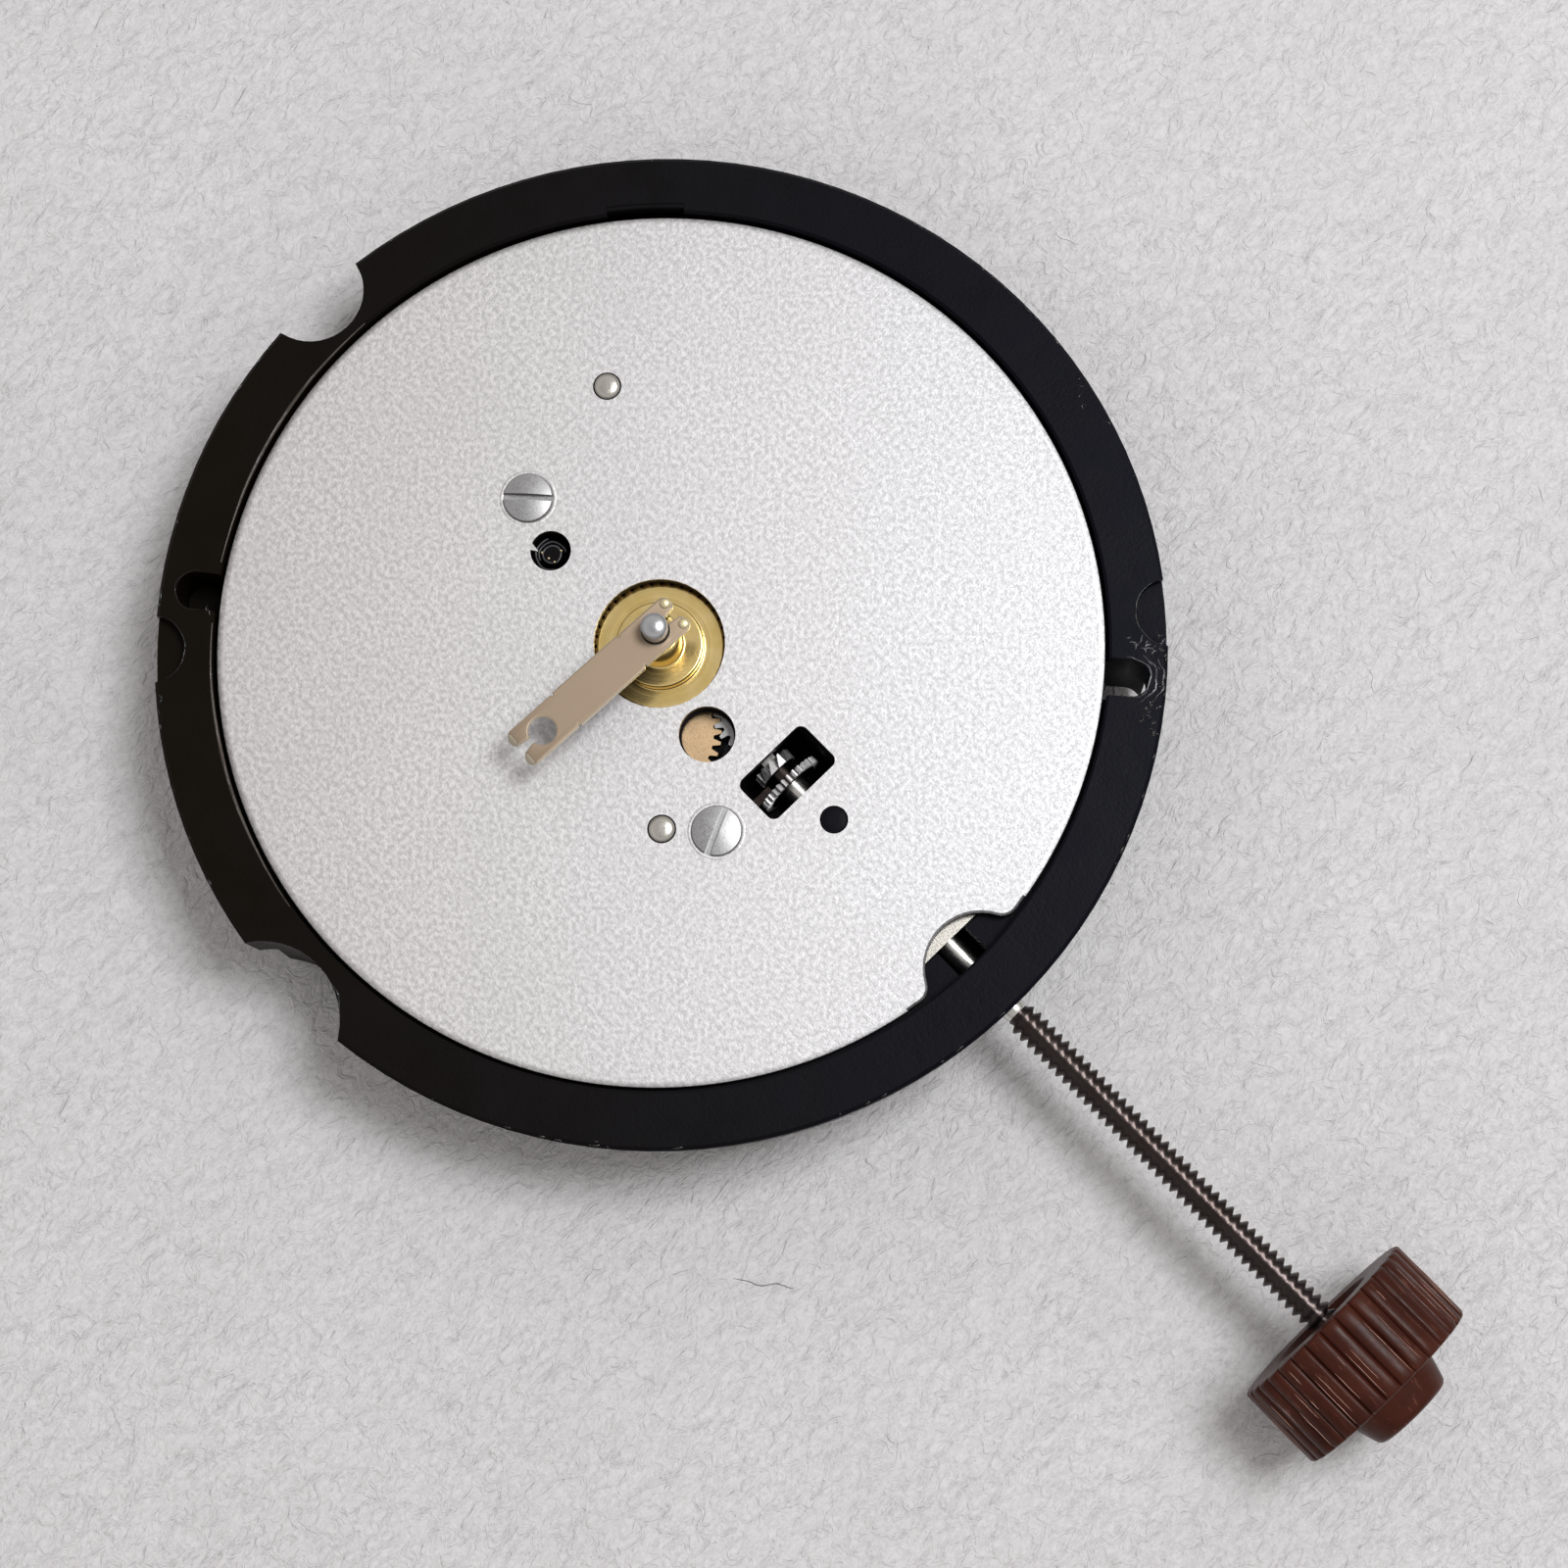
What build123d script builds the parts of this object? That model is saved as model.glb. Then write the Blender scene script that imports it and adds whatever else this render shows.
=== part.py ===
from build123d import *
import math
import os

# Quartz watch movement, dial side up, in millimetres.
# The origin is on the hand axis in the plane of the dial plate's outer face.
# +X runs along the setting stem to the crown, +Z points out of the dial side.

# Case fit and overall height; the casing body under the flange is 25.6 across
flange_diameter = 26.6
flange_overhang = 0.5
flange_band = 1.53
flange_rise = 0.2
flange_height = 1.65
flange_draft = 0.1
movement_height = 3.4

# Dial plate, 23.3 across
dial_plate_thickness = 0.4
dial_plate_gap = 0.12
dial_plate_edge = 0.06
centre_hole_radius = 1.73
boss_hole_at = (-3.82, -0.32)
boss_hole_radius = 0.54
boss_radius = 0.27
pip_hole_x = 6.57
pip_hole_radius = 0.37
pip_dimple_radius = 0.12
wheel_hole_at = (2.63, -0.79)
wheel_hole_radius = 0.745
window_inner_x = 4.13
window_length = 1.4
window_width = 2.35
window_corner = 0.22
stem_notch_offset = 0.35
stem_notch_radius = 1.45
notch_flare_radius = 0.45

# Screws and pins seen on the dial side
dial_screw_places = [(-5.28, 0.24), (4.65, -2.39)]
dial_screw_slot_angles = [43, 115]
dial_screw_head_radius = 0.69
dial_screw_head_height = 0.18
dial_screw_radius = 0.4
dial_screw_length = 1.1
pin_places = [(-6.03, 3.85), (3.61, -3.37)]
pin_radius = 0.355
pin_drop = 0.04
pin_hole_gap = 0.025
slot_width = 0.2
slot_depth = 0.1
head_gap = 0.03

# Flange details
dial_foot_angles = [41, 219]
dial_foot_inset = 0.95
dial_foot_width = 1.0
dial_foot_depths = [movement_height, 2.0]
side_notch_offset = 0.15
side_notch_radius = 1.39
bottom_notch_offset = 1.0
bottom_notch_radius = 2.1
pry_recess_angles = [48.9, 226.3]
pry_recess_offset = 0.1
pry_recess_radius = 0.9
pry_recess_depth = 0.35
edge_pocket_angles = [133, 143]
edge_pocket_width = 0.25
edge_pocket_depth = 0.5
seat_lip = 0.07
flange_edge = 0.1

# Motion work under the dial plate
motion_depth = 1.05
hour_teeth = 40
minute_pinion_teeth = 10
hour_module = 0.09
cannon_teeth = 12
minute_teeth = 36
setting_teeth = 16
minute_module = 0.09375
minute_wheel_angle = -48.5
hour_disc_gap = 0.05
hour_disc_thickness = 0.2
hour_boss_radius = 1.0
hour_boss_height = 0.35
hour_pipe_radius = 0.6
hour_pipe_top = 1.2
hour_pipe_edge = 0.05
minute_post_radius = 0.35
minute_post_top = 2.2
minute_post_dome = 0.14
minute_seat_start = 1.6
minute_waist_start = 0.7
minute_waist_radius = 0.31
cannon_leaf_height = 0.28
cannon_leaf_gap = 0.07
cannon_foot_gap = 0.03
cannon_bore_depth = 0.9
minute_disc_thickness = 0.15
minute_disc_gap = 0.15
minute_pinion_top_gap = 0.04
motion_stud_radius = 0.2
motion_stud_gap = 0.08
wheel_side_gap = 0.16
setting_wheel_gap = 0.08
setting_wheel_at = (2.9, 0.3)
setting_wheel_thickness = 0.4
setting_wheel_depth = 0.7
setting_pocket_depth = 1.13
running_gap = 0.03

# Going train between the main plate and the train bridge
train_ceiling_depth = 1.25
train_room = 1.4
arbor_radius = 0.19
pivot_radius = 0.1
leaf_overhang = 0.05
pivot_length = 0.1
centre_teeth = 30
third_pinion_teeth = 10
centre_module = 0.125
third_teeth = 40
intermediate_pinion_teeth = 8
third_module = 0.1
intermediate_teeth = 48
rotor_pinion_teeth = 8
intermediate_module = 0.075
third_angle = 100
intermediate_angle = 35
rotor_angle = 50
train_wheel_thickness = 0.2
centre_wheel_drop = 0.1
wheel_level_step = 0.4
lightening_hole_count = 5
lightening_share = 0.22
lightening_place_share = 0.62
rotor_magnet_radius = 0.62
rotor_magnet_height = 0.35
rotor_magnet_drop = 0.05
rotor_hole_gap = 0.2

# Motor: stator, core, bobbin and winding
stator_thickness = 0.4
stator_bar_width = 1.4
stator_slit_radius = 0.12
stator_rotor_wall = 0.3
core_thickness = 0.4
core_width = 0.9
coil_rise = 2.85
coil_pad_radius = 0.8
coil_length = 8.0
coil_flange_thickness = 0.3
coil_flange_size = 2.0
coil_end_gap = 0.5
bobbin_wall = 0.12
winding_radius = 0.85
coil_pocket_gap = 0.05
coil_screw_head_radius = 0.65
coil_screw_head_height = 0.2
coil_screw_radius = 0.3
coil_screw_bite = 0.45
coil_screw_slot_angles = [20, 100]

# Train bridge
bridge_thickness = 0.3
bridge_pin_margin = 0.55
bridge_screw_margin = 0.27
bridge_rotor_margin = 1.2
bridge_gap = 0.06
bridge_screw_places = [(-4.4, 1.9), (4.9, 2.7)]
bridge_screw_slot_angles = [25, 110]
bridge_screw_head_radius = 0.65
bridge_screw_head_height = 0.2
bridge_screw_radius = 0.3
bridge_screw_length = 1.1

# Circuit, cover and their screws on the back
board_thickness = 0.12
board_inset = 0.2
board_width = 5.2
board_start_angle = -86
board_end_angle = 58
board_gap = 0.08
cover_inset = 1.1
cover_thickness = 0.15
back_recess_gap = 0.15
cover_screw_angles = [164, 26, -40]
cover_screw_insets = [1.4, 0.95, 0.95]
cover_screw_slot_angles = [70, 160, 15, 120]
cover_screw_head_radius = 0.75
cover_screw_head_height = 0.14
cover_screw_radius = 0.35
cover_screw_length = 1.3
chip_inset = 3.15
chip_angle = -42
chip_size = 2.4
chip_thickness = 0.5
chip_corner = 0.4
chip_pocket_gap = 0.1
crystal_inset = 1.5
crystal_place_angle = -62.7
crystal_angle = -22
crystal_length = 5.0
crystal_radius = 0.75
crystal_nose_length = 0.35
crystal_nose_radius = 0.5
crystal_edge = 0.25
crystal_gap = 0.08

# Battery and its contacts
battery_radius = 4.75
battery_thickness = 1.6
battery_angle = 235
battery_gap = 0.1
battery_edge = 0.2
battery_cap_radius = 3.4
battery_cap_height = 0.15
battery_cap_edge = 0.07
negative_contact_thickness = 0.08
negative_contact_width = 1.6
negative_contact_gap = 0.03
negative_contact_reach = 1.35
positive_contact_thickness = 0.08
positive_contact_height = 1.0
positive_contact_start = 200
positive_contact_sweep = 50
positive_contact_relief = 0.15
clamp_angle = 145
clamp_reach = 5.75
clamp_screw_pad = 0.95
clamp_tongue_radius = 1.5
clamp_tongue_offset = 0.8
clamp_gap = 0.12

# Stem and crown
stem_depth = 1.5
stem_radius = 0.335
stem_bore_gap = 0.03
stem_pilot_radius = 0.22
stem_pilot_end_x = 2.25
stem_pilot_gap = 0.05
stem_square = 0.46
stem_square_start_x = 3.3
stem_square_end_x = 5.0
stem_neck_x = 8.3
stem_neck_width = 0.5
stem_neck_radius = 0.2
stem_thread_start_x = 13.4
stem_thread_radius = 0.45
stem_thread_in_crown = 2.2
pull_travel = 0.9
pinion_shift = 0.3
crown_inner_x = 24.4
crown_width = 2.4
crown_radius = 2.72
crown_rib_count = 32
crown_rib_height = 0.13
crown_edge = 0.08
crown_hub_length = 0.9
crown_hub_radius = 1.37
crown_hub_end_radius = 1.14
crown_hub_edge = 0.12
crown_inner_recess_radius = 1.5
crown_inner_recess_depth = 0.3

# Sliding pinion
pinion_start_x = 4.13
pinion_leaf_length = 0.32
pinion_leaf_radius = 0.58
pinion_leaf_count = 10
pinion_groove_length = 0.3
pinion_groove_radius = 0.4
pinion_wheel_length = 0.25
pinion_wheel_radius = 0.95
pinion_wheel_count = 20
pinion_tooth_depth = 0.16
pinion_square_gap = 0.015
pinion_bay_end_x = 6.1
pinion_bay_half_width = 1.1
bay_wall_gap = 0.1

# Keyless work: setting lever, yoke and the sheet over them
lever_cover_thickness = 0.15
lever_bay_start_x = 7.0
lever_bay_end_x = 10.87
lever_bay_low_y = -2.3
lever_bay_high_y = 3.5
lever_bay_depth = 1.17
lever_bay_corner = 0.6
lever_cover_gap = 0.06
lever_thickness = 0.24
lever_drop = 0.17
lever_pivot_y = 2.6
lever_pivot_radius = 0.3
lever_pad_radius = 0.7
lever_nose_radius = 0.42
lever_pin_radius = 0.15
lever_pin_gap = 0.03
lever_tail_length = 1.35
lever_tail_angle = -4
lever_tail_radius = 0.3
yoke_thickness = 0.24
yoke_drop_from_axis = 0.12
yoke_nose_width = 0.22
yoke_nose_gap = 0.05
yoke_arm_y = -1.28
yoke_arm_width = 0.34
yoke_post_at = (7.8, -1.6)
yoke_post_radius = 0.22
yoke_pad_radius = 0.5
yoke_side_gap = 0.06
stem_groove_half_width = 0.5

# Keeper clip over the hour pipe
clip_angle = -92
clip_thickness = 0.2
clip_width = 1.15
clip_level = 1.35
clip_rise = 0.2
clip_hole_spacing = 3.9
clip_hole_gap = 0.02
clip_prong_length = 0.62
clip_prong_offset = 0.335
clip_prong_radius = 0.24
clip_slit_width = 0.2
clip_shoulder = 0.78
clip_slope = 0.1
clip_nick_radius = 0.08

# One overrun serves every cut
cut = 0.5

half_turn = 180
full_turn = 360
quarter_turn = 90

# Directions inside a wedge, as shares of its sweep
wedge_shares = (0, 1 / 3, 2 / 3, 1)

# Proportions of a gear tooth, as shares of the module or of the pitch
addendum_share = 0.95
dedendum_share = 1.25
tooth_root_share = 0.34
tooth_tip_share = 0.13

# Levels from the dial side down
plate_under = -dial_plate_thickness
motion_floor = -motion_depth
train_ceiling = -train_ceiling_depth
bridge_face = train_ceiling - train_room
bridge_under = bridge_face - bridge_thickness
board_under = bridge_under - board_thickness
cover_under = board_under - cover_thickness
back_face = -movement_height
battery_back = board_under
battery_front = battery_back + battery_thickness
battery_ceiling = battery_front + negative_contact_thickness + 2 * negative_contact_gap
stem_z = -stem_depth
core_face = train_ceiling - stator_thickness
core_middle = core_face - core_thickness / 2

# Radii from the flange inwards
flange_radius = flange_diameter / 2
casing_radius = flange_radius - flange_overhang
seat_radius = flange_radius - flange_band
plate_radius = seat_radius - dial_plate_gap
cover_radius = casing_radius - cover_inset
back_recess_radius = cover_radius + back_recess_gap
board_outer_radius = cover_radius - board_inset
board_inner_radius = board_outer_radius - board_width
stem_notch_x = plate_radius + stem_notch_offset


def polar(distance, angle):
    """A point at a distance and an angle from the hand axis."""
    turn = math.radians(angle)
    return (distance * math.cos(turn), distance * math.sin(turn))


def step(place, distance, angle):
    """A point at a distance and an angle from another point."""
    dx, dy = polar(distance, angle)
    return (place[0] + dx, place[1] + dy)


def round_bar(place, radius, level, other_level):
    """A cylinder along Z between two levels."""
    low = min(level, other_level)
    high = max(level, other_level)
    seat = (Align.CENTER, Align.CENTER, Align.MIN)
    return Pos(place[0], place[1], low) * Cylinder(radius, high - low, align=seat)


def block(x_range, y_range, z_range):
    """A box between limits on the three axes."""
    low = [min(pair) for pair in (x_range, y_range, z_range)]
    size = [abs(pair[1] - pair[0]) for pair in (x_range, y_range, z_range)]
    seat = (Align.MIN, Align.MIN, Align.MIN)
    return Pos(*low) * Box(*size, align=seat)


def sheet(outline, level, other_level):
    """A flat sketch made into a plate between two levels."""
    low = min(level, other_level)
    high = max(level, other_level)
    return extrude(Pos(0, 0, low) * outline, amount=high - low)


def disc_sketch(place, radius):
    return Pos(place[0], place[1]) * Circle(radius)


def band(place, other_place, radius, other_radius=None):
    """A flat shape round two points, like a belt over two pulleys."""
    ends = disc_sketch(place, radius).edges()
    ends += disc_sketch(other_place, other_radius or radius).edges()
    return make_hull(ends)


def stem_rod(start_x, end_x, radius):
    """A cylinder along the stem's axis."""
    seat = (Align.CENTER, Align.CENTER, Align.MIN)
    rod = Cylinder(radius, end_x - start_x, align=seat)
    return Pos(start_x, 0, stem_z) * Rot(0, quarter_turn, 0) * rod


def wheel_radius(teeth, module):
    return teeth * module / 2


def tip_radius(teeth, module):
    return wheel_radius(teeth, module) + addendum_share * module


def gear_sketch(place, teeth, module, phase):
    """A toothed outline; phase is the direction of one tooth, in degrees."""
    outer = tip_radius(teeth, module)
    inner = wheel_radius(teeth, module) - dedendum_share * module
    pitch = full_turn / teeth
    points = []
    for number in range(teeth):
        middle = phase + number * pitch
        points.append(step(place, inner, middle - tooth_root_share * pitch))
        points.append(step(place, outer, middle - tooth_tip_share * pitch))
        points.append(step(place, outer, middle + tooth_tip_share * pitch))
        points.append(step(place, inner, middle + tooth_root_share * pitch))
    return make_face(Polyline(*points, close=True))


def meshed_phase(teeth, phase, direction, other_teeth):
    """The phase of a second gear that meshes with the first one in a direction from it."""
    back = (phase - direction) * teeth / other_teeth
    return direction + half_turn - back + half_turn / other_teeth


def slotted_screw(place, face, up, head_radius, head_height, radius, length, slot_angle):
    """A cheese-head screw whose head ends at a level; up is 1 or -1 for the way its head looks."""
    head_end = face - up * head_height
    shank_end = head_end - up * length
    screw = round_bar(place, head_radius, face, head_end)
    screw += round_bar(place, radius, head_end, shank_end)
    slot = Box(2 * head_radius + cut, slot_width, 2 * slot_depth)
    return screw - Pos(place[0], place[1], face) * Rot(0, 0, slot_angle) * slot


# Places that follow from the wheel sizes
cannon_to_minute = wheel_radius(cannon_teeth + minute_teeth, minute_module)
minute_wheel_at = polar(cannon_to_minute, minute_wheel_angle)
third_at = polar(wheel_radius(centre_teeth + third_pinion_teeth, centre_module), third_angle)
third_distance = wheel_radius(third_teeth + intermediate_pinion_teeth, third_module)
intermediate_at = step(third_at, third_distance, intermediate_angle)
intermediate_distance = wheel_radius(intermediate_teeth + rotor_pinion_teeth, intermediate_module)
rotor_at = step(intermediate_at, intermediate_distance, rotor_angle)
battery_at = polar(cover_radius - battery_radius, battery_angle)
clamp_screw_at = step(battery_at, clamp_reach, clamp_angle)
chip_at = polar(board_outer_radius - chip_inset, chip_angle)
crystal_at = polar(board_outer_radius - crystal_inset, crystal_place_angle)
screw_turns = zip(cover_screw_insets, cover_screw_angles)
cover_screw_places = [polar(cover_radius - inset, angle) for inset, angle in screw_turns]
coil_y = rotor_at[1] + coil_rise
centre_level = train_ceiling - centre_wheel_drop
third_level = centre_level - wheel_level_step
intermediate_level = third_level - wheel_level_step
hour_disc_top = plate_under - hour_disc_gap
cannon_leaf_top = hour_disc_top - hour_disc_thickness - cannon_leaf_gap
minute_disc_top = hour_disc_top - hour_disc_thickness - minute_disc_gap
pinion_groove_x = pinion_start_x + pinion_leaf_length
pinion_wheel_x = pinion_groove_x + pinion_groove_length
pinion_end_x = pinion_wheel_x + pinion_wheel_length
window_middle_x = window_inner_x + window_length / 2
pip_at = (pip_hole_x, 0)
stator_arm_x = coil_length / 2 + coil_flange_thickness + coil_end_gap + coil_pad_radius
coil_pads = [(-stator_arm_x, coil_y), (stator_arm_x, coil_y)]
lever_pivot_at = (stem_neck_x + pull_travel / 2, lever_pivot_y)
lever_tail_at = step(lever_pivot_at, lever_tail_length, lever_tail_angle)


def u_slot(angle):
    """An outline open to the dial plate, round at its outer end."""
    inner = polar(plate_radius - cut, angle)
    outer = polar(flange_radius - dial_foot_inset, angle)
    return band(inner, outer, dial_foot_width / 2)


def stator_outline(margin):
    """A bar through the rotor with an arm up to each coil pad."""
    half = stator_bar_width / 2 + margin
    bar_y = rotor_at[1]
    bar_ends = [(-stator_arm_x, bar_y), (stator_arm_x, bar_y)]
    outline = band(bar_ends[0], bar_ends[1], half)
    eye = rotor_magnet_radius + rotor_hole_gap + stator_rotor_wall
    outline += disc_sketch(rotor_at, eye + margin)
    for end, pad in zip(bar_ends, coil_pads):
        outline += band(end, pad, half, coil_pad_radius + margin)
    return outline


def bridge_outline(margin):
    """The train bridge: one flowing outline round its pins, a screw and the rotor."""
    circles = disc_sketch(rotor_at, bridge_rotor_margin + margin).edges()
    for place in pin_places:
        circles += disc_sketch(place, pin_radius + bridge_pin_margin + margin).edges()
    screw_radius = bridge_screw_head_radius + bridge_screw_margin
    for place in bridge_screw_places:
        circles += disc_sketch(place, screw_radius + margin).edges()
    return make_hull(circles)


def board_outline(margin):
    """A sector of a ring beside the battery."""
    ring = Circle(board_outer_radius + margin) - Circle(board_inner_radius - margin)
    reach = board_outer_radius + cut
    corners = [(0, 0)]
    sweep = board_end_angle - board_start_angle
    for share in wedge_shares:
        corners.append(polar(2 * reach, board_start_angle + share * sweep))
    sector = make_face(Polyline(*corners, close=True))
    trimmed = ring & offset(sector, amount=margin) if margin else ring & sector
    return trimmed - disc_sketch(battery_at, battery_radius + positive_contact_relief + board_gap - margin)


def clamp_outline(margin):
    """A screw pad with a tongue over the battery."""
    tongue = step(battery_at, clamp_tongue_offset, clamp_angle)
    return band(clamp_screw_at, tongue, clamp_screw_pad + margin, clamp_tongue_radius + margin)


def coil_window(margin):
    half_length = coil_length / 2 + coil_flange_thickness + margin
    half_width = coil_flange_size / 2 + margin
    return Pos(0, coil_y) * Rectangle(2 * half_length, 2 * half_width)


def lever_bay_outline(margin):
    middle = ((lever_bay_start_x + lever_bay_end_x) / 2, (lever_bay_low_y + lever_bay_high_y) / 2)
    size_x = lever_bay_end_x - lever_bay_start_x + 2 * margin
    size_y = lever_bay_high_y - lever_bay_low_y + 2 * margin
    return Pos(*middle) * RectangleRounded(size_x, size_y, lever_bay_corner)


def yoke_slot_end():
    return (yoke_post_at[0] + pinion_shift, yoke_post_at[1])


def yoke_outline(margin):
    """A nose in the pinion's groove, an arm beside the stem and a slotted pad on its post."""
    nose_x = pinion_groove_x + pinion_groove_length / 2
    nose_tip_y = -pinion_groove_radius - yoke_nose_gap
    half_nose = yoke_nose_width / 2 + margin
    half_arm = yoke_arm_width / 2 + margin
    nose_length = nose_tip_y - yoke_arm_y + margin
    nose = Pos(nose_x, yoke_arm_y + nose_length / 2) * Rectangle(2 * half_nose, nose_length)
    arm_end = (yoke_post_at[0] - yoke_pad_radius, yoke_arm_y)
    arm = band((nose_x, yoke_arm_y), arm_end, half_arm)
    return nose + arm + band(yoke_post_at, yoke_slot_end(), yoke_pad_radius + margin)


def yoke_levels():
    top = stem_z - yoke_drop_from_axis
    return top, top - yoke_thickness


def swept_yoke_outline():
    """The yoke's outline over its whole shift, with a gap round it."""
    outline = yoke_outline(yoke_side_gap)
    return outline + Pos(-pinion_shift / 2, 0) * outline + Pos(-pinion_shift, 0) * outline


def main_plate_blank():
    """Casing body, flange and the seat of the dial plate, turned about the hand axis."""
    flange_top = flange_rise
    flange_low = flange_top - flange_height
    profile = Polyline(
        (0, back_face),
        (casing_radius - flange_edge, back_face),
        (casing_radius, back_face + flange_edge),
        (casing_radius, flange_low),
        (flange_radius - flange_draft, flange_low),
        (flange_radius, flange_top - flange_edge),
        (flange_radius - flange_edge, flange_top),
        (seat_radius + seat_lip, flange_top),
        (seat_radius, flange_top - seat_lip),
        (seat_radius, plate_under),
        (0, plate_under),
        close=True,
    )
    face = make_face(Plane.XZ * profile)
    return revolve(face, axis=Axis.Z)


def flange_cuts():
    """Notches, dial-foot slots, prying recesses and the small pocket in the flange."""
    bottom = back_face - cut
    side_notch_at = (-flange_radius - side_notch_offset, 0)
    bottom_notch_at = (0, -flange_radius - bottom_notch_offset)
    cuts = [round_bar(side_notch_at, side_notch_radius, bottom, cut)]
    cuts.append(round_bar(bottom_notch_at, bottom_notch_radius, bottom, cut))
    for angle, depth in zip(dial_foot_angles, dial_foot_depths):
        slot_floor = bottom if depth >= movement_height else -depth
        cuts.append(sheet(u_slot(angle), slot_floor, cut))
    recess_floor = flange_rise - pry_recess_depth
    for angle in pry_recess_angles:
        recess_at = polar(flange_radius + pry_recess_offset, angle)
        cuts.append(round_bar(recess_at, pry_recess_radius, recess_floor, cut))
    pocket = Circle(seat_radius + edge_pocket_width) - Circle(plate_radius - edge_pocket_width)
    cuts.append(sheet(pocket & pocket_sector(), plate_under - edge_pocket_depth, cut))
    return cuts


def pocket_sector():
    reach = flange_diameter
    start, end = [polar(reach, angle) for angle in edge_pocket_angles]
    return make_face(Polyline((0, 0), start, end, close=True))


def dial_side_cuts():
    """Pockets for the motion work, the sliding pinion, the levers and the stem's groove."""
    hour_room = tip_radius(hour_teeth, hour_module) + wheel_side_gap
    minute_room = tip_radius(minute_teeth, minute_module) + wheel_side_gap
    setting_room = tip_radius(setting_teeth, minute_module) + setting_wheel_gap
    cuts = [round_bar((0, 0), hour_room, motion_floor, cut)]
    cuts.append(round_bar(minute_wheel_at, minute_room, motion_floor, cut))
    cuts.append(round_bar(setting_wheel_at, setting_room, -setting_pocket_depth, cut))
    bay_low = stem_z - pinion_wheel_radius - running_gap
    bay_start = pinion_start_x - pinion_shift - bay_wall_gap
    bay_y = (-pinion_bay_half_width, pinion_bay_half_width)
    cuts.append(block((bay_start, pinion_bay_end_x), bay_y, (bay_low, cut)))
    yoke_low = yoke_levels()[1] - yoke_side_gap
    cuts.append(sheet(swept_yoke_outline(), yoke_low, cut))
    cuts.append(sheet(lever_bay_outline(0), -lever_bay_depth, cut))
    cuts.append(sheet(lever_bay_outline(lever_cover_gap), plate_under - lever_cover_thickness, cut))
    groove_y = (-stem_groove_half_width, stem_groove_half_width)
    groove_low = stem_z - stem_groove_half_width
    cuts.append(block((lever_bay_start_x, seat_radius), groove_y, (groove_low, cut)))
    cuts.append(round_bar(boss_hole_at, boss_hole_radius + running_gap, motion_floor, cut))
    return cuts


def stem_bores():
    """The stem's pilot hole, the passage to the bay and the bores either side of the levers."""
    pilot = stem_rod(stem_pilot_end_x - stem_pilot_gap, pinion_start_x, stem_pilot_radius + stem_bore_gap)
    square_room = stem_rod(stem_square_start_x - bay_wall_gap, pinion_start_x, stem_radius + stem_bore_gap)
    through = stem_rod(pinion_start_x, flange_diameter, stem_radius + stem_bore_gap)
    return [pilot, square_room, through]


def train_cuts():
    """Wheel pockets, stator and coil beds, cut from the back."""
    rooms = [
        ((0, 0), tip_radius(centre_teeth, centre_module)),
        (third_at, tip_radius(third_teeth, third_module)),
        (intermediate_at, tip_radius(intermediate_teeth, intermediate_module)),
        (rotor_at, rotor_magnet_radius + rotor_hole_gap),
    ]
    cuts = []
    for place, radius in rooms:
        cuts.append(round_bar(place, radius + wheel_side_gap, train_ceiling, back_face - cut))
    cuts.append(sheet(stator_outline(coil_pocket_gap), train_ceiling, back_face - cut))
    coil_ceiling = core_middle + coil_flange_size / 2 + coil_pocket_gap
    cuts.append(sheet(coil_window(coil_pocket_gap), coil_ceiling, back_face - cut))
    core_y = core_width / 2 + coil_pocket_gap
    core_room = (coil_y - core_y, coil_y + core_y)
    cuts.append(block((-stator_arm_x, stator_arm_x), core_room, (train_ceiling, back_face - cut)))
    return cuts


def back_cuts():
    """Seats of the cover, board, bridge, battery, chip and crystal."""
    below = back_face - cut
    cuts = [round_bar((0, 0), back_recess_radius, board_under, below)]
    cuts.append(sheet(board_outline(board_gap), bridge_under, below))
    cuts.append(sheet(bridge_outline(bridge_gap), bridge_face, below))
    cuts.append(round_bar(battery_at, battery_radius + battery_gap, battery_ceiling, below))
    relief = round_bar(battery_at, battery_radius + positive_contact_relief, board_under, contact_top())
    cuts.append(relief & contact_sector(battery_radius))
    cuts.append(chip_pocket())
    cuts.append(crystal_bed())
    return cuts


def chip_pocket():
    size = chip_size + 2 * chip_pocket_gap
    top = bridge_under + chip_thickness + chip_pocket_gap
    return sheet(Pos(*chip_at) * RectangleRounded(size, size, chip_corner), top, bridge_under - cut)


def crystal_bed():
    """A trough that clears the crystal's can and opens to the back."""
    length = crystal_length + crystal_nose_length + 2 * crystal_gap
    width = 2 * (crystal_radius + crystal_gap)
    top = crystal_level() + crystal_radius + crystal_gap
    middle = Pos(*crystal_at) * Rot(0, 0, crystal_angle) * Pos(-crystal_nose_length / 2, 0)
    trough = middle * Rectangle(length, width)
    return sheet(trough, top, back_face - cut)


def crystal_level():
    return bridge_under + crystal_radius - board_thickness


def contact_top():
    return board_under + positive_contact_height + positive_contact_relief


def contact_sector(radius):
    """A wedge over the arc of the positive contact."""
    reach = 2 * radius
    corners = [battery_at]
    for share in wedge_shares:
        corners.append(step(battery_at, reach, positive_contact_start + share * positive_contact_sweep))
    return sheet(make_face(Polyline(*corners, close=True)), board_under - cut, train_ceiling)


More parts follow.
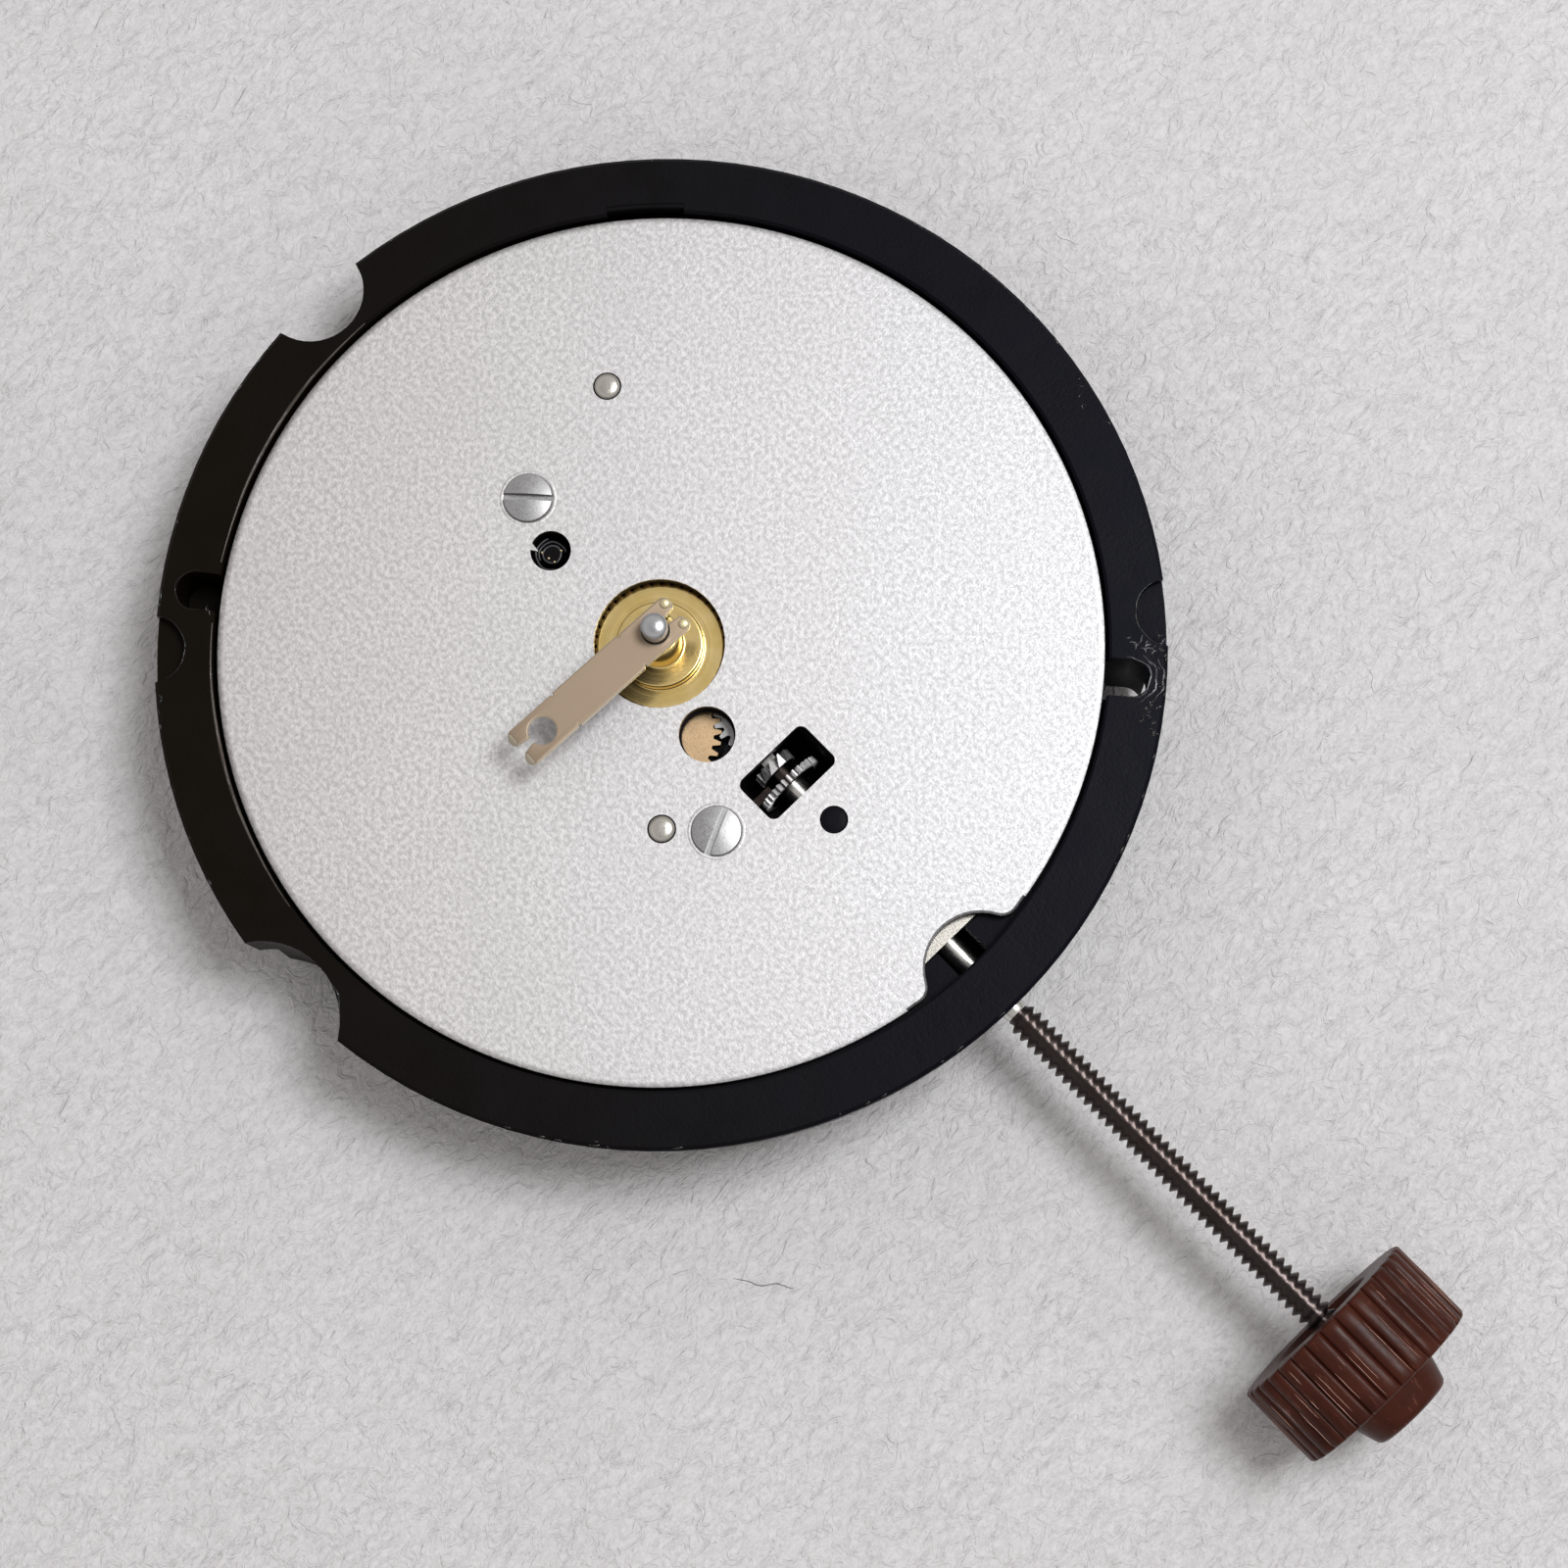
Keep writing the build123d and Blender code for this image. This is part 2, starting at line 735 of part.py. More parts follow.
def hole_cuts():
    """Holes for screws, pins and pivots."""
    cuts = []
    dial_tip = -dial_screw_head_height - dial_screw_length
    for place in dial_screw_places:
        cuts.append(round_bar(place, dial_screw_radius, dial_tip, cut))
    for place in pin_places:
        cuts.append(round_bar(place, pin_radius, back_face - cut, cut))
    for place in bridge_screw_places:
        tip = bridge_under + bridge_screw_length
        cuts.append(round_bar(place, bridge_screw_radius, tip, back_face - cut))
    for place in cover_screw_places + [clamp_screw_at]:
        tip = cover_under + cover_screw_length
        cuts.append(round_bar(place, cover_screw_radius, tip, back_face - cut))
    for place in coil_pads:
        tip = train_ceiling + coil_screw_bite
        cuts.append(round_bar(place, coil_screw_radius, tip, back_face - cut))
    cuts.append(round_bar((0, 0), minute_post_radius + running_gap, train_ceiling - cut, cut))
    for place in (third_at, intermediate_at, rotor_at):
        cuts.append(round_bar(place, pivot_radius + running_gap, plate_under - cut, train_ceiling - cut))
    return cuts


def main_plate_posts():
    """Studs of the motion work, posts of the levers, and the two bosses seen through the dial plate."""
    stud_top = plate_under - motion_stud_gap
    posts = [round_bar(minute_wheel_at, motion_stud_radius, motion_floor, stud_top)]
    posts.append(round_bar(setting_wheel_at, motion_stud_radius, -setting_pocket_depth, stud_top))
    lever_post_top = plate_under - lever_cover_thickness
    posts.append(round_bar(lever_pivot_at, lever_pivot_radius, -lever_bay_depth, lever_post_top))
    yoke_top, yoke_low = yoke_levels()
    yoke_post_levels = (yoke_low - yoke_side_gap, yoke_top + yoke_side_gap)
    posts.append(round_bar(yoke_post_at, yoke_post_radius, *yoke_post_levels))
    posts.append(round_bar(pip_at, pip_hole_radius - running_gap, plate_under - cut, -pin_drop))
    posts.append(round_bar(boss_hole_at, boss_radius, motion_floor, plate_under))
    return posts


def make_main_plate():
    plate = main_plate_blank()
    for tool in flange_cuts() + dial_side_cuts() + train_cuts() + back_cuts():
        plate -= tool
    for post in main_plate_posts():
        plate += post
    for tool in stem_bores() + hole_cuts():
        plate -= tool
    dimple = Pos(pip_hole_x, 0, -pin_drop) * Sphere(pip_dimple_radius)
    return plate - dimple


def dial_plate_rim():
    """The plate's outer outline with the round stem notch, its corners rounded off."""
    rim = Circle(plate_radius) - disc_sketch((stem_notch_x, 0), stem_notch_radius)
    return fillet(rim.vertices().sort_by(Axis.X)[-2:], notch_flare_radius)


def make_dial_plate():
    plate = sheet(dial_plate_rim(), plate_under, 0)
    rims = plate.edges().group_by(Axis.Z)[-1]
    plate = chamfer(rims, dial_plate_edge)
    outline = disc_sketch((0, 0), centre_hole_radius)
    outline += disc_sketch(boss_hole_at, boss_hole_radius)
    outline += disc_sketch(pip_at, pip_hole_radius)
    outline += disc_sketch(wheel_hole_at, wheel_hole_radius)
    window = RectangleRounded(window_length, window_width, window_corner)
    outline += Pos(window_middle_x, 0) * window
    for place in pin_places:
        outline += disc_sketch(place, pin_radius + pin_hole_gap)
    for place in dial_screw_places:
        outline += disc_sketch(place, dial_screw_radius)
    plate -= sheet(outline, plate_under - cut, cut)
    for place in dial_screw_places:
        plate -= round_bar(place, dial_screw_head_radius + head_gap, -dial_screw_head_height, cut)
    return plate


def make_dial_plate_screws():
    screws = []
    for place, angle in zip(dial_screw_places, dial_screw_slot_angles):
        sizes = (dial_screw_head_radius, dial_screw_head_height, dial_screw_radius, dial_screw_length)
        screws.append(slotted_screw(place, 0, 1, *sizes, angle))
    return screws


def make_locating_pins():
    return [round_bar(place, pin_radius, -pin_drop, bridge_under + pin_drop) for place in pin_places]


def make_hour_wheel():
    """Disc, boss and pipe round the minute post, with a small chamfer at the pipe's top."""
    pinion_direction = minute_wheel_angle
    pinion_phase = pinion_direction + half_turn
    phase = meshed_phase(minute_pinion_teeth, pinion_phase, pinion_phase, hour_teeth)
    disc_low = hour_disc_top - hour_disc_thickness
    wheel = sheet(gear_sketch((0, 0), hour_teeth, hour_module, phase), disc_low, hour_disc_top)
    boss_top = hour_disc_top + hour_boss_height
    wheel += round_bar((0, 0), hour_boss_radius, disc_low, boss_top)
    pipe = round_bar((0, 0), hour_pipe_radius, disc_low, hour_pipe_top)
    pipe = chamfer(pipe.edges().group_by(Axis.Z)[-1], hour_pipe_edge)
    wheel += pipe
    return wheel - round_bar((0, 0), minute_post_radius + running_gap, disc_low - cut, hour_pipe_top + cut)


def minute_post_profile(foot):
    """Half section of the post, with a waist between the hour wheel's bore and the hand's seat."""
    waist_middle = (minute_waist_start + minute_seat_start) / 2
    return Polyline(
        (0, foot),
        (minute_post_radius, foot),
        (minute_post_radius, minute_waist_start),
        (minute_waist_radius, waist_middle),
        (minute_post_radius, minute_seat_start),
        (minute_post_radius, minute_post_top),
        (0, minute_post_top),
        close=True,
    )


def make_cannon_pinion():
    """Pinion with the long domed post that takes the minute hand, bored for the centre arbor."""
    leaf_low = cannon_leaf_top - cannon_leaf_height
    foot = motion_floor + cannon_foot_gap
    outline = gear_sketch((0, 0), cannon_teeth, minute_module, minute_wheel_angle)
    pinion = sheet(outline, leaf_low, cannon_leaf_top)
    pinion += revolve(make_face(Plane.XZ * minute_post_profile(foot)), axis=Axis.Z)
    dome_radius = (minute_post_radius**2 + minute_post_dome**2) / (2 * minute_post_dome)
    dome = Pos(0, 0, minute_post_top - dome_radius) * Sphere(dome_radius)
    dome += round_bar((0, 0), dome_radius, minute_post_top - dome_radius, foot - cut)
    pinion &= dome
    return pinion - round_bar((0, 0), arbor_radius, foot - cut, cannon_bore_depth)


def minute_wheel_phase():
    return meshed_phase(cannon_teeth, minute_wheel_angle, minute_wheel_angle, minute_teeth)


def make_minute_wheel():
    outline = gear_sketch(minute_wheel_at, minute_teeth, minute_module, minute_wheel_phase())
    wheel = sheet(outline, minute_disc_top, minute_disc_top - minute_disc_thickness)
    bore = motion_stud_radius + running_gap
    return wheel - round_bar(minute_wheel_at, bore, motion_floor - cut, cut)


def make_minute_pinion():
    phase = minute_wheel_angle + half_turn
    outline = gear_sketch(minute_wheel_at, minute_pinion_teeth, hour_module, phase)
    pinion = sheet(outline, minute_disc_top, plate_under - minute_pinion_top_gap)
    bore = motion_stud_radius + running_gap
    return pinion - round_bar(minute_wheel_at, bore, motion_floor - cut, cut)


def make_setting_wheel():
    dx = setting_wheel_at[0] - minute_wheel_at[0]
    dy = setting_wheel_at[1] - minute_wheel_at[1]
    direction = math.degrees(math.atan2(dy, dx))
    phase = meshed_phase(minute_teeth, minute_wheel_phase(), direction, setting_teeth)
    outline = gear_sketch(setting_wheel_at, setting_teeth, minute_module, phase)
    wheel = sheet(outline, -setting_wheel_depth, -setting_wheel_depth - setting_wheel_thickness)
    bore = motion_stud_radius + running_gap
    return wheel - round_bar(setting_wheel_at, bore, -setting_pocket_depth - cut, cut)


def train_wheel(place, teeth, module, phase, level):
    """A wheel with a ring of lightening holes, bored for its arbor."""
    outline = gear_sketch(place, teeth, module, phase)
    radius = wheel_radius(teeth, module)
    for number in range(lightening_hole_count):
        angle = phase + number * full_turn / lightening_hole_count
        hole_at = step(place, lightening_place_share * radius, angle)
        outline -= disc_sketch(hole_at, lightening_share * radius)
    outline -= disc_sketch(place, arbor_radius)
    return sheet(outline, level, level - train_wheel_thickness)


def train_arbor(place, leaf_teeth, module, phase, level):
    """A pinion on its arbor with a pivot at each end; its leaves mesh one wheel level down."""
    arbor = round_bar(place, pivot_radius, train_ceiling + pivot_length, bridge_under + leaf_overhang)
    arbor += round_bar(place, arbor_radius, train_ceiling - leaf_overhang, bridge_face + leaf_overhang)
    leaf_top = level + leaf_overhang
    leaf_low = level - train_wheel_thickness - leaf_overhang
    return arbor + sheet(gear_sketch(place, leaf_teeth, module, phase), leaf_top, leaf_low)


def make_centre_wheel():
    """The wheel whose long arbor carries the cannon pinion, with its lower pivot."""
    outline = gear_sketch((0, 0), centre_teeth, centre_module, third_angle)
    wheel = sheet(outline, centre_level, centre_level - train_wheel_thickness)
    wheel += round_bar((0, 0), arbor_radius, bridge_face + leaf_overhang, cannon_bore_depth)
    return wheel + round_bar((0, 0), pivot_radius, bridge_under + leaf_overhang, bridge_face + cut)


def make_third_pinion():
    phase = meshed_phase(centre_teeth, third_angle, third_angle, third_pinion_teeth)
    return train_arbor(third_at, third_pinion_teeth, centre_module, phase, centre_level)


def make_third_wheel():
    return train_wheel(third_at, third_teeth, third_module, intermediate_angle, third_level)


def make_intermediate_pinion():
    phase = meshed_phase(third_teeth, intermediate_angle, intermediate_angle, intermediate_pinion_teeth)
    return train_arbor(intermediate_at, intermediate_pinion_teeth, third_module, phase, third_level)


def make_intermediate_wheel():
    level = intermediate_level
    return train_wheel(intermediate_at, intermediate_teeth, intermediate_module, rotor_angle, level)


def make_rotor_pinion():
    phase = meshed_phase(intermediate_teeth, rotor_angle, rotor_angle, rotor_pinion_teeth)
    return train_arbor(rotor_at, rotor_pinion_teeth, intermediate_module, phase, intermediate_level)


def make_rotor_magnet():
    top = train_ceiling - rotor_magnet_drop
    magnet = round_bar(rotor_at, rotor_magnet_radius, top, top - rotor_magnet_height)
    return magnet - round_bar(rotor_at, arbor_radius, train_ceiling, bridge_face)


def make_stator():
    """Magnetic plate with the rotor hole, two slits beside it and the holes of the coil screws."""
    outline = stator_outline(0)
    hole_radius = rotor_magnet_radius + rotor_hole_gap
    outline -= disc_sketch(rotor_at, hole_radius)
    for side in (1, -1):
        slit_at = (rotor_at[0], rotor_at[1] + side * (hole_radius + stator_rotor_wall))
        outline -= disc_sketch(slit_at, stator_slit_radius)
    for pad in coil_pads:
        outline -= disc_sketch(pad, coil_screw_radius)
    return sheet(outline, train_ceiling, core_face)


def make_coil_core():
    bar_length = 2 * stator_arm_x
    outline = Pos(0, coil_y) * Rectangle(bar_length, core_width)
    for pad in coil_pads:
        outline += disc_sketch(pad, coil_pad_radius)
    for pad in coil_pads:
        outline -= disc_sketch(pad, coil_screw_radius)
    return sheet(outline, core_face, core_face - core_thickness)


def core_passage():
    """The core's bar, to be cut out of what is slipped over it."""
    reach = coil_length + 2 * coil_flange_thickness + cut
    return Pos(0, coil_y, core_middle) * Box(reach, core_width, core_thickness)


def make_coil_bobbin():
    """A square tube over the core with a flange at each end."""
    tube_y = core_width + 2 * bobbin_wall
    tube_z = core_thickness + 2 * bobbin_wall
    bobbin = Pos(0, coil_y, core_middle) * Box(coil_length, tube_y, tube_z)
    for side in (1, -1):
        middle_x = side * (coil_length + coil_flange_thickness) / 2
        flange = Box(coil_flange_thickness, coil_flange_size, coil_flange_size)
        bobbin += Pos(middle_x, coil_y, core_middle) * flange
    return bobbin - core_passage()


def make_coil_winding():
    """The wound wire as one closed barrel on the bobbin."""
    tube_y = core_width + 2 * bobbin_wall
    tube_z = core_thickness + 2 * bobbin_wall
    barrel = Pos(0, coil_y, core_middle) * Rot(0, quarter_turn, 0) * Cylinder(winding_radius, coil_length)
    return barrel - Pos(0, coil_y, core_middle) * Box(coil_length + cut, tube_y, tube_z)


def make_coil_screws():
    face = core_face - core_thickness - coil_screw_head_height
    length = core_thickness + stator_thickness + coil_screw_bite
    sizes = (coil_screw_head_radius, coil_screw_head_height, coil_screw_radius, length)
    turned = zip(coil_pads, coil_screw_slot_angles)
    return [slotted_screw(pad, face, -1, *sizes, angle) for pad, angle in turned]


def make_train_bridge():
    """Plate with pivot holes, pin holes and screw holes, chamfered on the back."""
    bridge = sheet(bridge_outline(0), bridge_face, bridge_under)
    holes = [((0, 0), pivot_radius), (third_at, pivot_radius)]
    holes += [(intermediate_at, pivot_radius), (rotor_at, pivot_radius)]
    for place, radius in holes:
        bridge -= round_bar(place, radius + running_gap, bridge_face + cut, bridge_under - cut)
    for place in pin_places:
        bridge -= round_bar(place, pin_radius + pin_hole_gap, bridge_face + cut, bridge_under - cut)
    for place in bridge_screw_places:
        bridge -= round_bar(place, bridge_screw_radius, bridge_face + cut, bridge_under - cut)
    return bridge


def make_bridge_screws():
    face = bridge_under - bridge_screw_head_height
    sizes = (bridge_screw_head_radius, bridge_screw_head_height, bridge_screw_radius, bridge_screw_length)
    turned = zip(bridge_screw_places, bridge_screw_slot_angles)
    return [slotted_screw(place, face, -1, *sizes, angle) for place, angle in turned]


def make_circuit_board():
    board = sheet(board_outline(0), bridge_under, board_under)
    for place in bridge_screw_places:
        board -= round_bar(place, bridge_screw_head_radius + head_gap, bridge_face, back_face)
    for place in cover_screw_places:
        board -= round_bar(place, cover_screw_radius + head_gap, bridge_face, back_face)
    return board - crystal_bed()


def make_ic_chip():
    outline = Pos(*chip_at) * RectangleRounded(chip_size, chip_size, chip_corner)
    return sheet(outline, bridge_under, bridge_under + chip_thickness)


def make_quartz_crystal():
    """A small can lying in the main plate, with a narrower glass end."""
    seat = (Align.CENTER, Align.CENTER, Align.MIN)
    can = Cylinder(crystal_radius, crystal_length, align=seat)
    can = fillet(can.edges().group_by(Axis.Z)[-1], crystal_edge)
    can += Pos(0, 0, -crystal_nose_length) * Cylinder(crystal_nose_radius, crystal_nose_length, align=seat)
    laid = Rot(0, quarter_turn, 0) * Pos(0, 0, -crystal_length / 2) * can
    return Pos(crystal_at[0], crystal_at[1], crystal_level()) * Rot(0, 0, crystal_angle) * laid


def make_battery():
    """Button cell: rounded can with its smaller cap towards the dial side."""
    can = round_bar(battery_at, battery_radius, battery_back, battery_front - battery_cap_height)
    can = fillet(can.edges().group_by(Axis.Z)[0], battery_edge)
    cap = round_bar(battery_at, battery_cap_radius, battery_front - battery_cap_height, battery_front)
    return can + chamfer(cap.edges().group_by(Axis.Z)[-1], battery_cap_edge)


def make_negative_contact():
    """Leaf under the battery's cap that runs out beyond its edge."""
    low = battery_front + negative_contact_gap
    tip = step(battery_at, negative_contact_reach, positive_contact_start)
    root = step(battery_at, battery_radius - negative_contact_width / 2, 0)
    return sheet(band(tip, root, negative_contact_width / 2), low, low + negative_contact_thickness)


def make_positive_contact():
    """Curved strip between the battery's side and the main plate."""
    inner = battery_radius + (positive_contact_relief - positive_contact_thickness) / 2
    ring = disc_sketch(battery_at, inner + positive_contact_thickness) - disc_sketch(battery_at, inner)
    strip = sheet(ring, board_under, board_under + positive_contact_height)
    return strip & contact_sector(battery_radius)


def make_battery_clamp():
    clamp = sheet(clamp_outline(0), board_under, cover_under)
    return clamp - round_bar(clamp_screw_at, cover_screw_radius, board_under + cut, cover_under - cut)


def make_circuit_cover():
    """Thin back plate with openings for the battery, the coil, the crystal and the bridge screws."""
    outline = Circle(cover_radius)
    outline -= disc_sketch(battery_at, battery_radius + battery_gap)
    outline -= clamp_outline(clamp_gap)
    outline -= coil_window(coil_pocket_gap)
    for pad in coil_pads:
        outline -= disc_sketch(pad, coil_screw_head_radius)
    for place in bridge_screw_places:
        outline -= disc_sketch(place, bridge_screw_head_radius + head_gap)
    for place in cover_screw_places:
        outline -= disc_sketch(place, cover_screw_radius)
    cover = sheet(outline, board_under, cover_under) - crystal_bed()
    return cover


def make_cover_screws():
    face = cover_under - cover_screw_head_height
    sizes = (cover_screw_head_radius, cover_screw_head_height, cover_screw_radius, cover_screw_length)
    turned = zip(cover_screw_places + [clamp_screw_at], cover_screw_slot_angles)
    return [slotted_screw(place, face, -1, *sizes, angle) for place, angle in turned]


def make_lever_cover():
    """Bright sheet over the levers; its edge shows in the stem notch."""
    outline = lever_bay_outline(0)
    return sheet(outline, plate_under, plate_under - lever_cover_thickness)


def make_setting_lever():
    """Flat lever with a pin in the stem's groove and a tail."""
    top = plate_under - lever_cover_thickness - lever_drop
    low = top - lever_thickness
    outline = band(lever_pivot_at, (stem_neck_x, 0), lever_pad_radius, lever_nose_radius)
    outline += band(lever_pivot_at, lever_tail_at, lever_pad_radius, lever_tail_radius)
    outline -= disc_sketch(lever_pivot_at, lever_pivot_radius + running_gap)
    lever = sheet(outline, top, low)
    pin_end = stem_z + stem_neck_radius + lever_pin_gap
    return lever + round_bar((stem_neck_x, 0), lever_pin_radius, low, pin_end)


def make_yoke():
    top, low = yoke_levels()
    outline = yoke_outline(0)
    slot_radius = yoke_post_radius + running_gap
    outline -= band(yoke_post_at, yoke_slot_end(), slot_radius)
    return sheet(outline, top, low)


def crown_gear(start_x, length, radius, count):
    """A toothed disc on the stem's axis."""
    pitch = full_turn / count
    points = []
    for number in range(count):
        middle = number * pitch
        inner = radius - pinion_tooth_depth
        points.append(polar(inner, middle - tooth_root_share * pitch))
        points.append(polar(radius, middle - tooth_tip_share * pitch))
        points.append(polar(radius, middle + tooth_tip_share * pitch))
        points.append(polar(inner, middle + tooth_root_share * pitch))
    disc = extrude(make_face(Polyline(*points, close=True)), amount=length)
    return Pos(start_x, 0, stem_z) * Rot(0, quarter_turn, 0) * disc


def make_sliding_pinion():
    """Small pinion and larger wheel in one piece, with the yoke's groove between them."""
    pinion = crown_gear(pinion_start_x, pinion_leaf_length, pinion_leaf_radius, pinion_leaf_count)
    pinion += stem_rod(pinion_groove_x, pinion_wheel_x, pinion_groove_radius)
    pinion += crown_gear(pinion_wheel_x, pinion_wheel_length, pinion_wheel_radius, pinion_wheel_count)
    length = pinion_end_x - pinion_start_x
    side = stem_square + 2 * pinion_square_gap
    middle_x = pinion_start_x + length / 2
    return pinion - Pos(middle_x, 0, stem_z) * Box(length + cut, side, side)


def make_setting_stem():
    """Pilot, square, round shaft with its groove, and the thicker threaded rod."""
    stem = stem_rod(stem_pilot_end_x, stem_square_start_x, stem_pilot_radius)
    square_length = stem_square_end_x - stem_square_start_x
    square_x = stem_square_start_x + square_length / 2
    stem += Pos(square_x, 0, stem_z) * Box(square_length, stem_square, stem_square)
    neck_start = stem_neck_x - stem_neck_width / 2
    neck_end = stem_neck_x + stem_neck_width / 2
    stem += stem_rod(stem_square_end_x, neck_start, stem_radius)
    stem += stem_rod(neck_start, neck_end, stem_neck_radius)
    stem += stem_rod(neck_end, stem_thread_start_x, stem_radius)
    thread_end = crown_inner_x + stem_thread_in_crown
    return stem + stem_rod(stem_thread_start_x, thread_end, stem_thread_radius)


def fluted_outline():
    """The crown's edge: one round rib after another."""
    pitch = full_turn / crown_rib_count
    valley = crown_radius - crown_rib_height
    ribs = []
    for number in range(crown_rib_count):
        start = number * pitch
        crest = polar(crown_radius, start + pitch / 2)
        ribs.append(ThreePointArc(polar(valley, start), crest, polar(valley, start + pitch)))
    return make_face(ribs)


def crown_profile():
    """Half section along the axis, with rounded-off corners and the tapered hub."""
    end_x = crown_width
    hub_end = crown_width + crown_hub_length
    return Polyline(
        (0, 0),
        (crown_radius - crown_edge, 0),
        (crown_radius, crown_edge),
        (crown_radius, end_x - crown_edge),
        (crown_radius - crown_edge, end_x),
        (crown_hub_radius, end_x),
        (crown_hub_end_radius, hub_end - crown_hub_edge),
        (crown_hub_end_radius - crown_hub_edge, hub_end),
        (0, hub_end),
        close=True,
    )


def make_crown():
    """Fluted plastic crown with a tapered hub, a recess round the stem and a blind hole for it."""
    section = revolve(make_face(Plane.XZ * crown_profile()), axis=Axis.Z)
    full_length = crown_width + crown_hub_length
    crown = extrude(fluted_outline(), amount=full_length) & section
    seat = (Align.CENTER, Align.CENTER, Align.MIN)
    crown -= Cylinder(stem_thread_radius, stem_thread_in_crown, align=seat)
    crown -= Cylinder(crown_inner_recess_radius, crown_inner_recess_depth, align=seat)
    return Pos(crown_inner_x, 0, stem_z) * Rot(0, quarter_turn, 0) * crown


def fork_outline(hole_x, way):
    """A forked end round a hole; way is 1 or -1 for the side that its prongs point to."""
    root = Pos(hole_x - way * clip_shoulder, 0) * Rectangle(clip_slope, clip_width)
    ends = root.edges()
    for side in (1, -1):
        tip = (hole_x + way * clip_prong_length, side * clip_prong_offset)
        ends += disc_sketch(tip, clip_prong_radius).edges()
    outline = make_hull(ends)
    outline -= Pos(hole_x, 0) * Circle(minute_post_radius + clip_hole_gap)
    slit_length = clip_prong_length + clip_prong_radius + cut
    outline -= Pos(hole_x + way * slit_length / 2, 0) * Rectangle(slit_length, clip_slit_width)
    return outline


def clip_side_profile():
    """The strip seen from its side: low forks and a raised middle."""
    first = clip_shoulder
    last = clip_hole_spacing - clip_shoulder
    reach = clip_prong_length + clip_prong_radius + cut
    low = clip_level
    high = clip_level + clip_rise
    under = [(-reach, low), (first - clip_slope / 2, low), (first + clip_slope / 2, high)]
    under += [(last - clip_slope / 2, high), (last + clip_slope / 2, low)]
    under += [(clip_hole_spacing + reach, low)]
    over = [(x, z + clip_thickness) for x, z in reversed(under)]
    return Polyline(*under, *over, close=True)


def make_keeper_clip():
    """Strip with a fork at each end; one fork snaps round the minute post above the hour pipe."""
    plan = fork_outline(0, -1) + fork_outline(clip_hole_spacing, 1)
    middle_length = clip_hole_spacing - 2 * clip_shoulder
    plan += Pos(clip_hole_spacing / 2, 0) * Rectangle(middle_length, clip_width)
    for x in (clip_shoulder, clip_hole_spacing - clip_shoulder):
        for side in (1, -1):
            plan -= disc_sketch((x, side * clip_width / 2), clip_nick_radius)
    strip = extrude(make_face(Plane.XZ * clip_side_profile()), amount=clip_width, both=True)
    clip = strip & sheet(plan, clip_level - cut, clip_level + clip_rise + clip_thickness + cut)
    return Rot(0, 0, clip_angle) * clip


makers = {
    "main_plate": make_main_plate,
    "dial_plate": make_dial_plate,
    "dial_plate_screws": make_dial_plate_screws,
    "locating_pins": make_locating_pins,
    "hour_wheel": make_hour_wheel,
    "cannon_pinion": make_cannon_pinion,
    "minute_wheel": make_minute_wheel,
    "minute_pinion": make_minute_pinion,
    "setting_wheel": make_setting_wheel,
    "centre_wheel": make_centre_wheel,
    "third_wheel": make_third_wheel,
    "third_pinion": make_third_pinion,
    "intermediate_wheel": make_intermediate_wheel,
    "intermediate_pinion": make_intermediate_pinion,
    "rotor_magnet": make_rotor_magnet,
    "rotor_pinion": make_rotor_pinion,
    "stator": make_stator,
    "coil_core": make_coil_core,
    "coil_bobbin": make_coil_bobbin,
    "coil_winding": make_coil_winding,
    "coil_screws": make_coil_screws,
    "train_bridge": make_train_bridge,
    "bridge_screws": make_bridge_screws,
    "circuit_board": make_circuit_board,
    "ic_chip": make_ic_chip,
    "quartz_crystal": make_quartz_crystal,
    "battery": make_battery,
    "negative_contact": make_negative_contact,
    "positive_contact": make_positive_contact,
    "battery_clamp": make_battery_clamp,
    "circuit_cover": make_circuit_cover,
    "cover_screws": make_cover_screws,
    "lever_cover": make_lever_cover,
    "setting_lever": make_setting_lever,
    "yoke": make_yoke,
    "sliding_pinion": make_sliding_pinion,
    "setting_stem": make_setting_stem,
    "crown": make_crown,
    "keeper_clip": make_keeper_clip,
}


def write_parts():
    os.makedirs("parts", exist_ok=True)
    for node, make in makers.items():
        made = make()
        shape = Compound(children=made) if isinstance(made, list) else made
        export_step(shape, f"parts/{node}.step")


write_parts()
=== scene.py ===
import random
from math import asin, copysign, cos, degrees, hypot, pi, radians, sin

import bmesh
import bpy
from mathutils import Matrix, Vector


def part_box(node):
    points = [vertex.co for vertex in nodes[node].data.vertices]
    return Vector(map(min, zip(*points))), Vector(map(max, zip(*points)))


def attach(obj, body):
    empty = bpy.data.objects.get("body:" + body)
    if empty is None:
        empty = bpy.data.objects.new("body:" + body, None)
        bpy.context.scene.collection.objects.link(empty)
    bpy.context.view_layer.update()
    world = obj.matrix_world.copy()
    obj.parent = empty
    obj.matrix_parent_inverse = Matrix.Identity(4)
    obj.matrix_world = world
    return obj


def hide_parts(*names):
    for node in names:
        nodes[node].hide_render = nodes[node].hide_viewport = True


# Quartz watch movement, dial side up. Lengths are in millimetres until a mesh is made.
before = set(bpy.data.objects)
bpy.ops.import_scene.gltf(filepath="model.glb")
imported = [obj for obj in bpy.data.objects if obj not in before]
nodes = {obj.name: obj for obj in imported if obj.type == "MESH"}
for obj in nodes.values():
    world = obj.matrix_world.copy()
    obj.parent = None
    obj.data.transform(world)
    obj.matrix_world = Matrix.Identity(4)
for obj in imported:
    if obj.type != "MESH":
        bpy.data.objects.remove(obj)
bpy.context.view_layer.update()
MM = 0.001
FULL = 2 * pi
chance = random.Random(11)

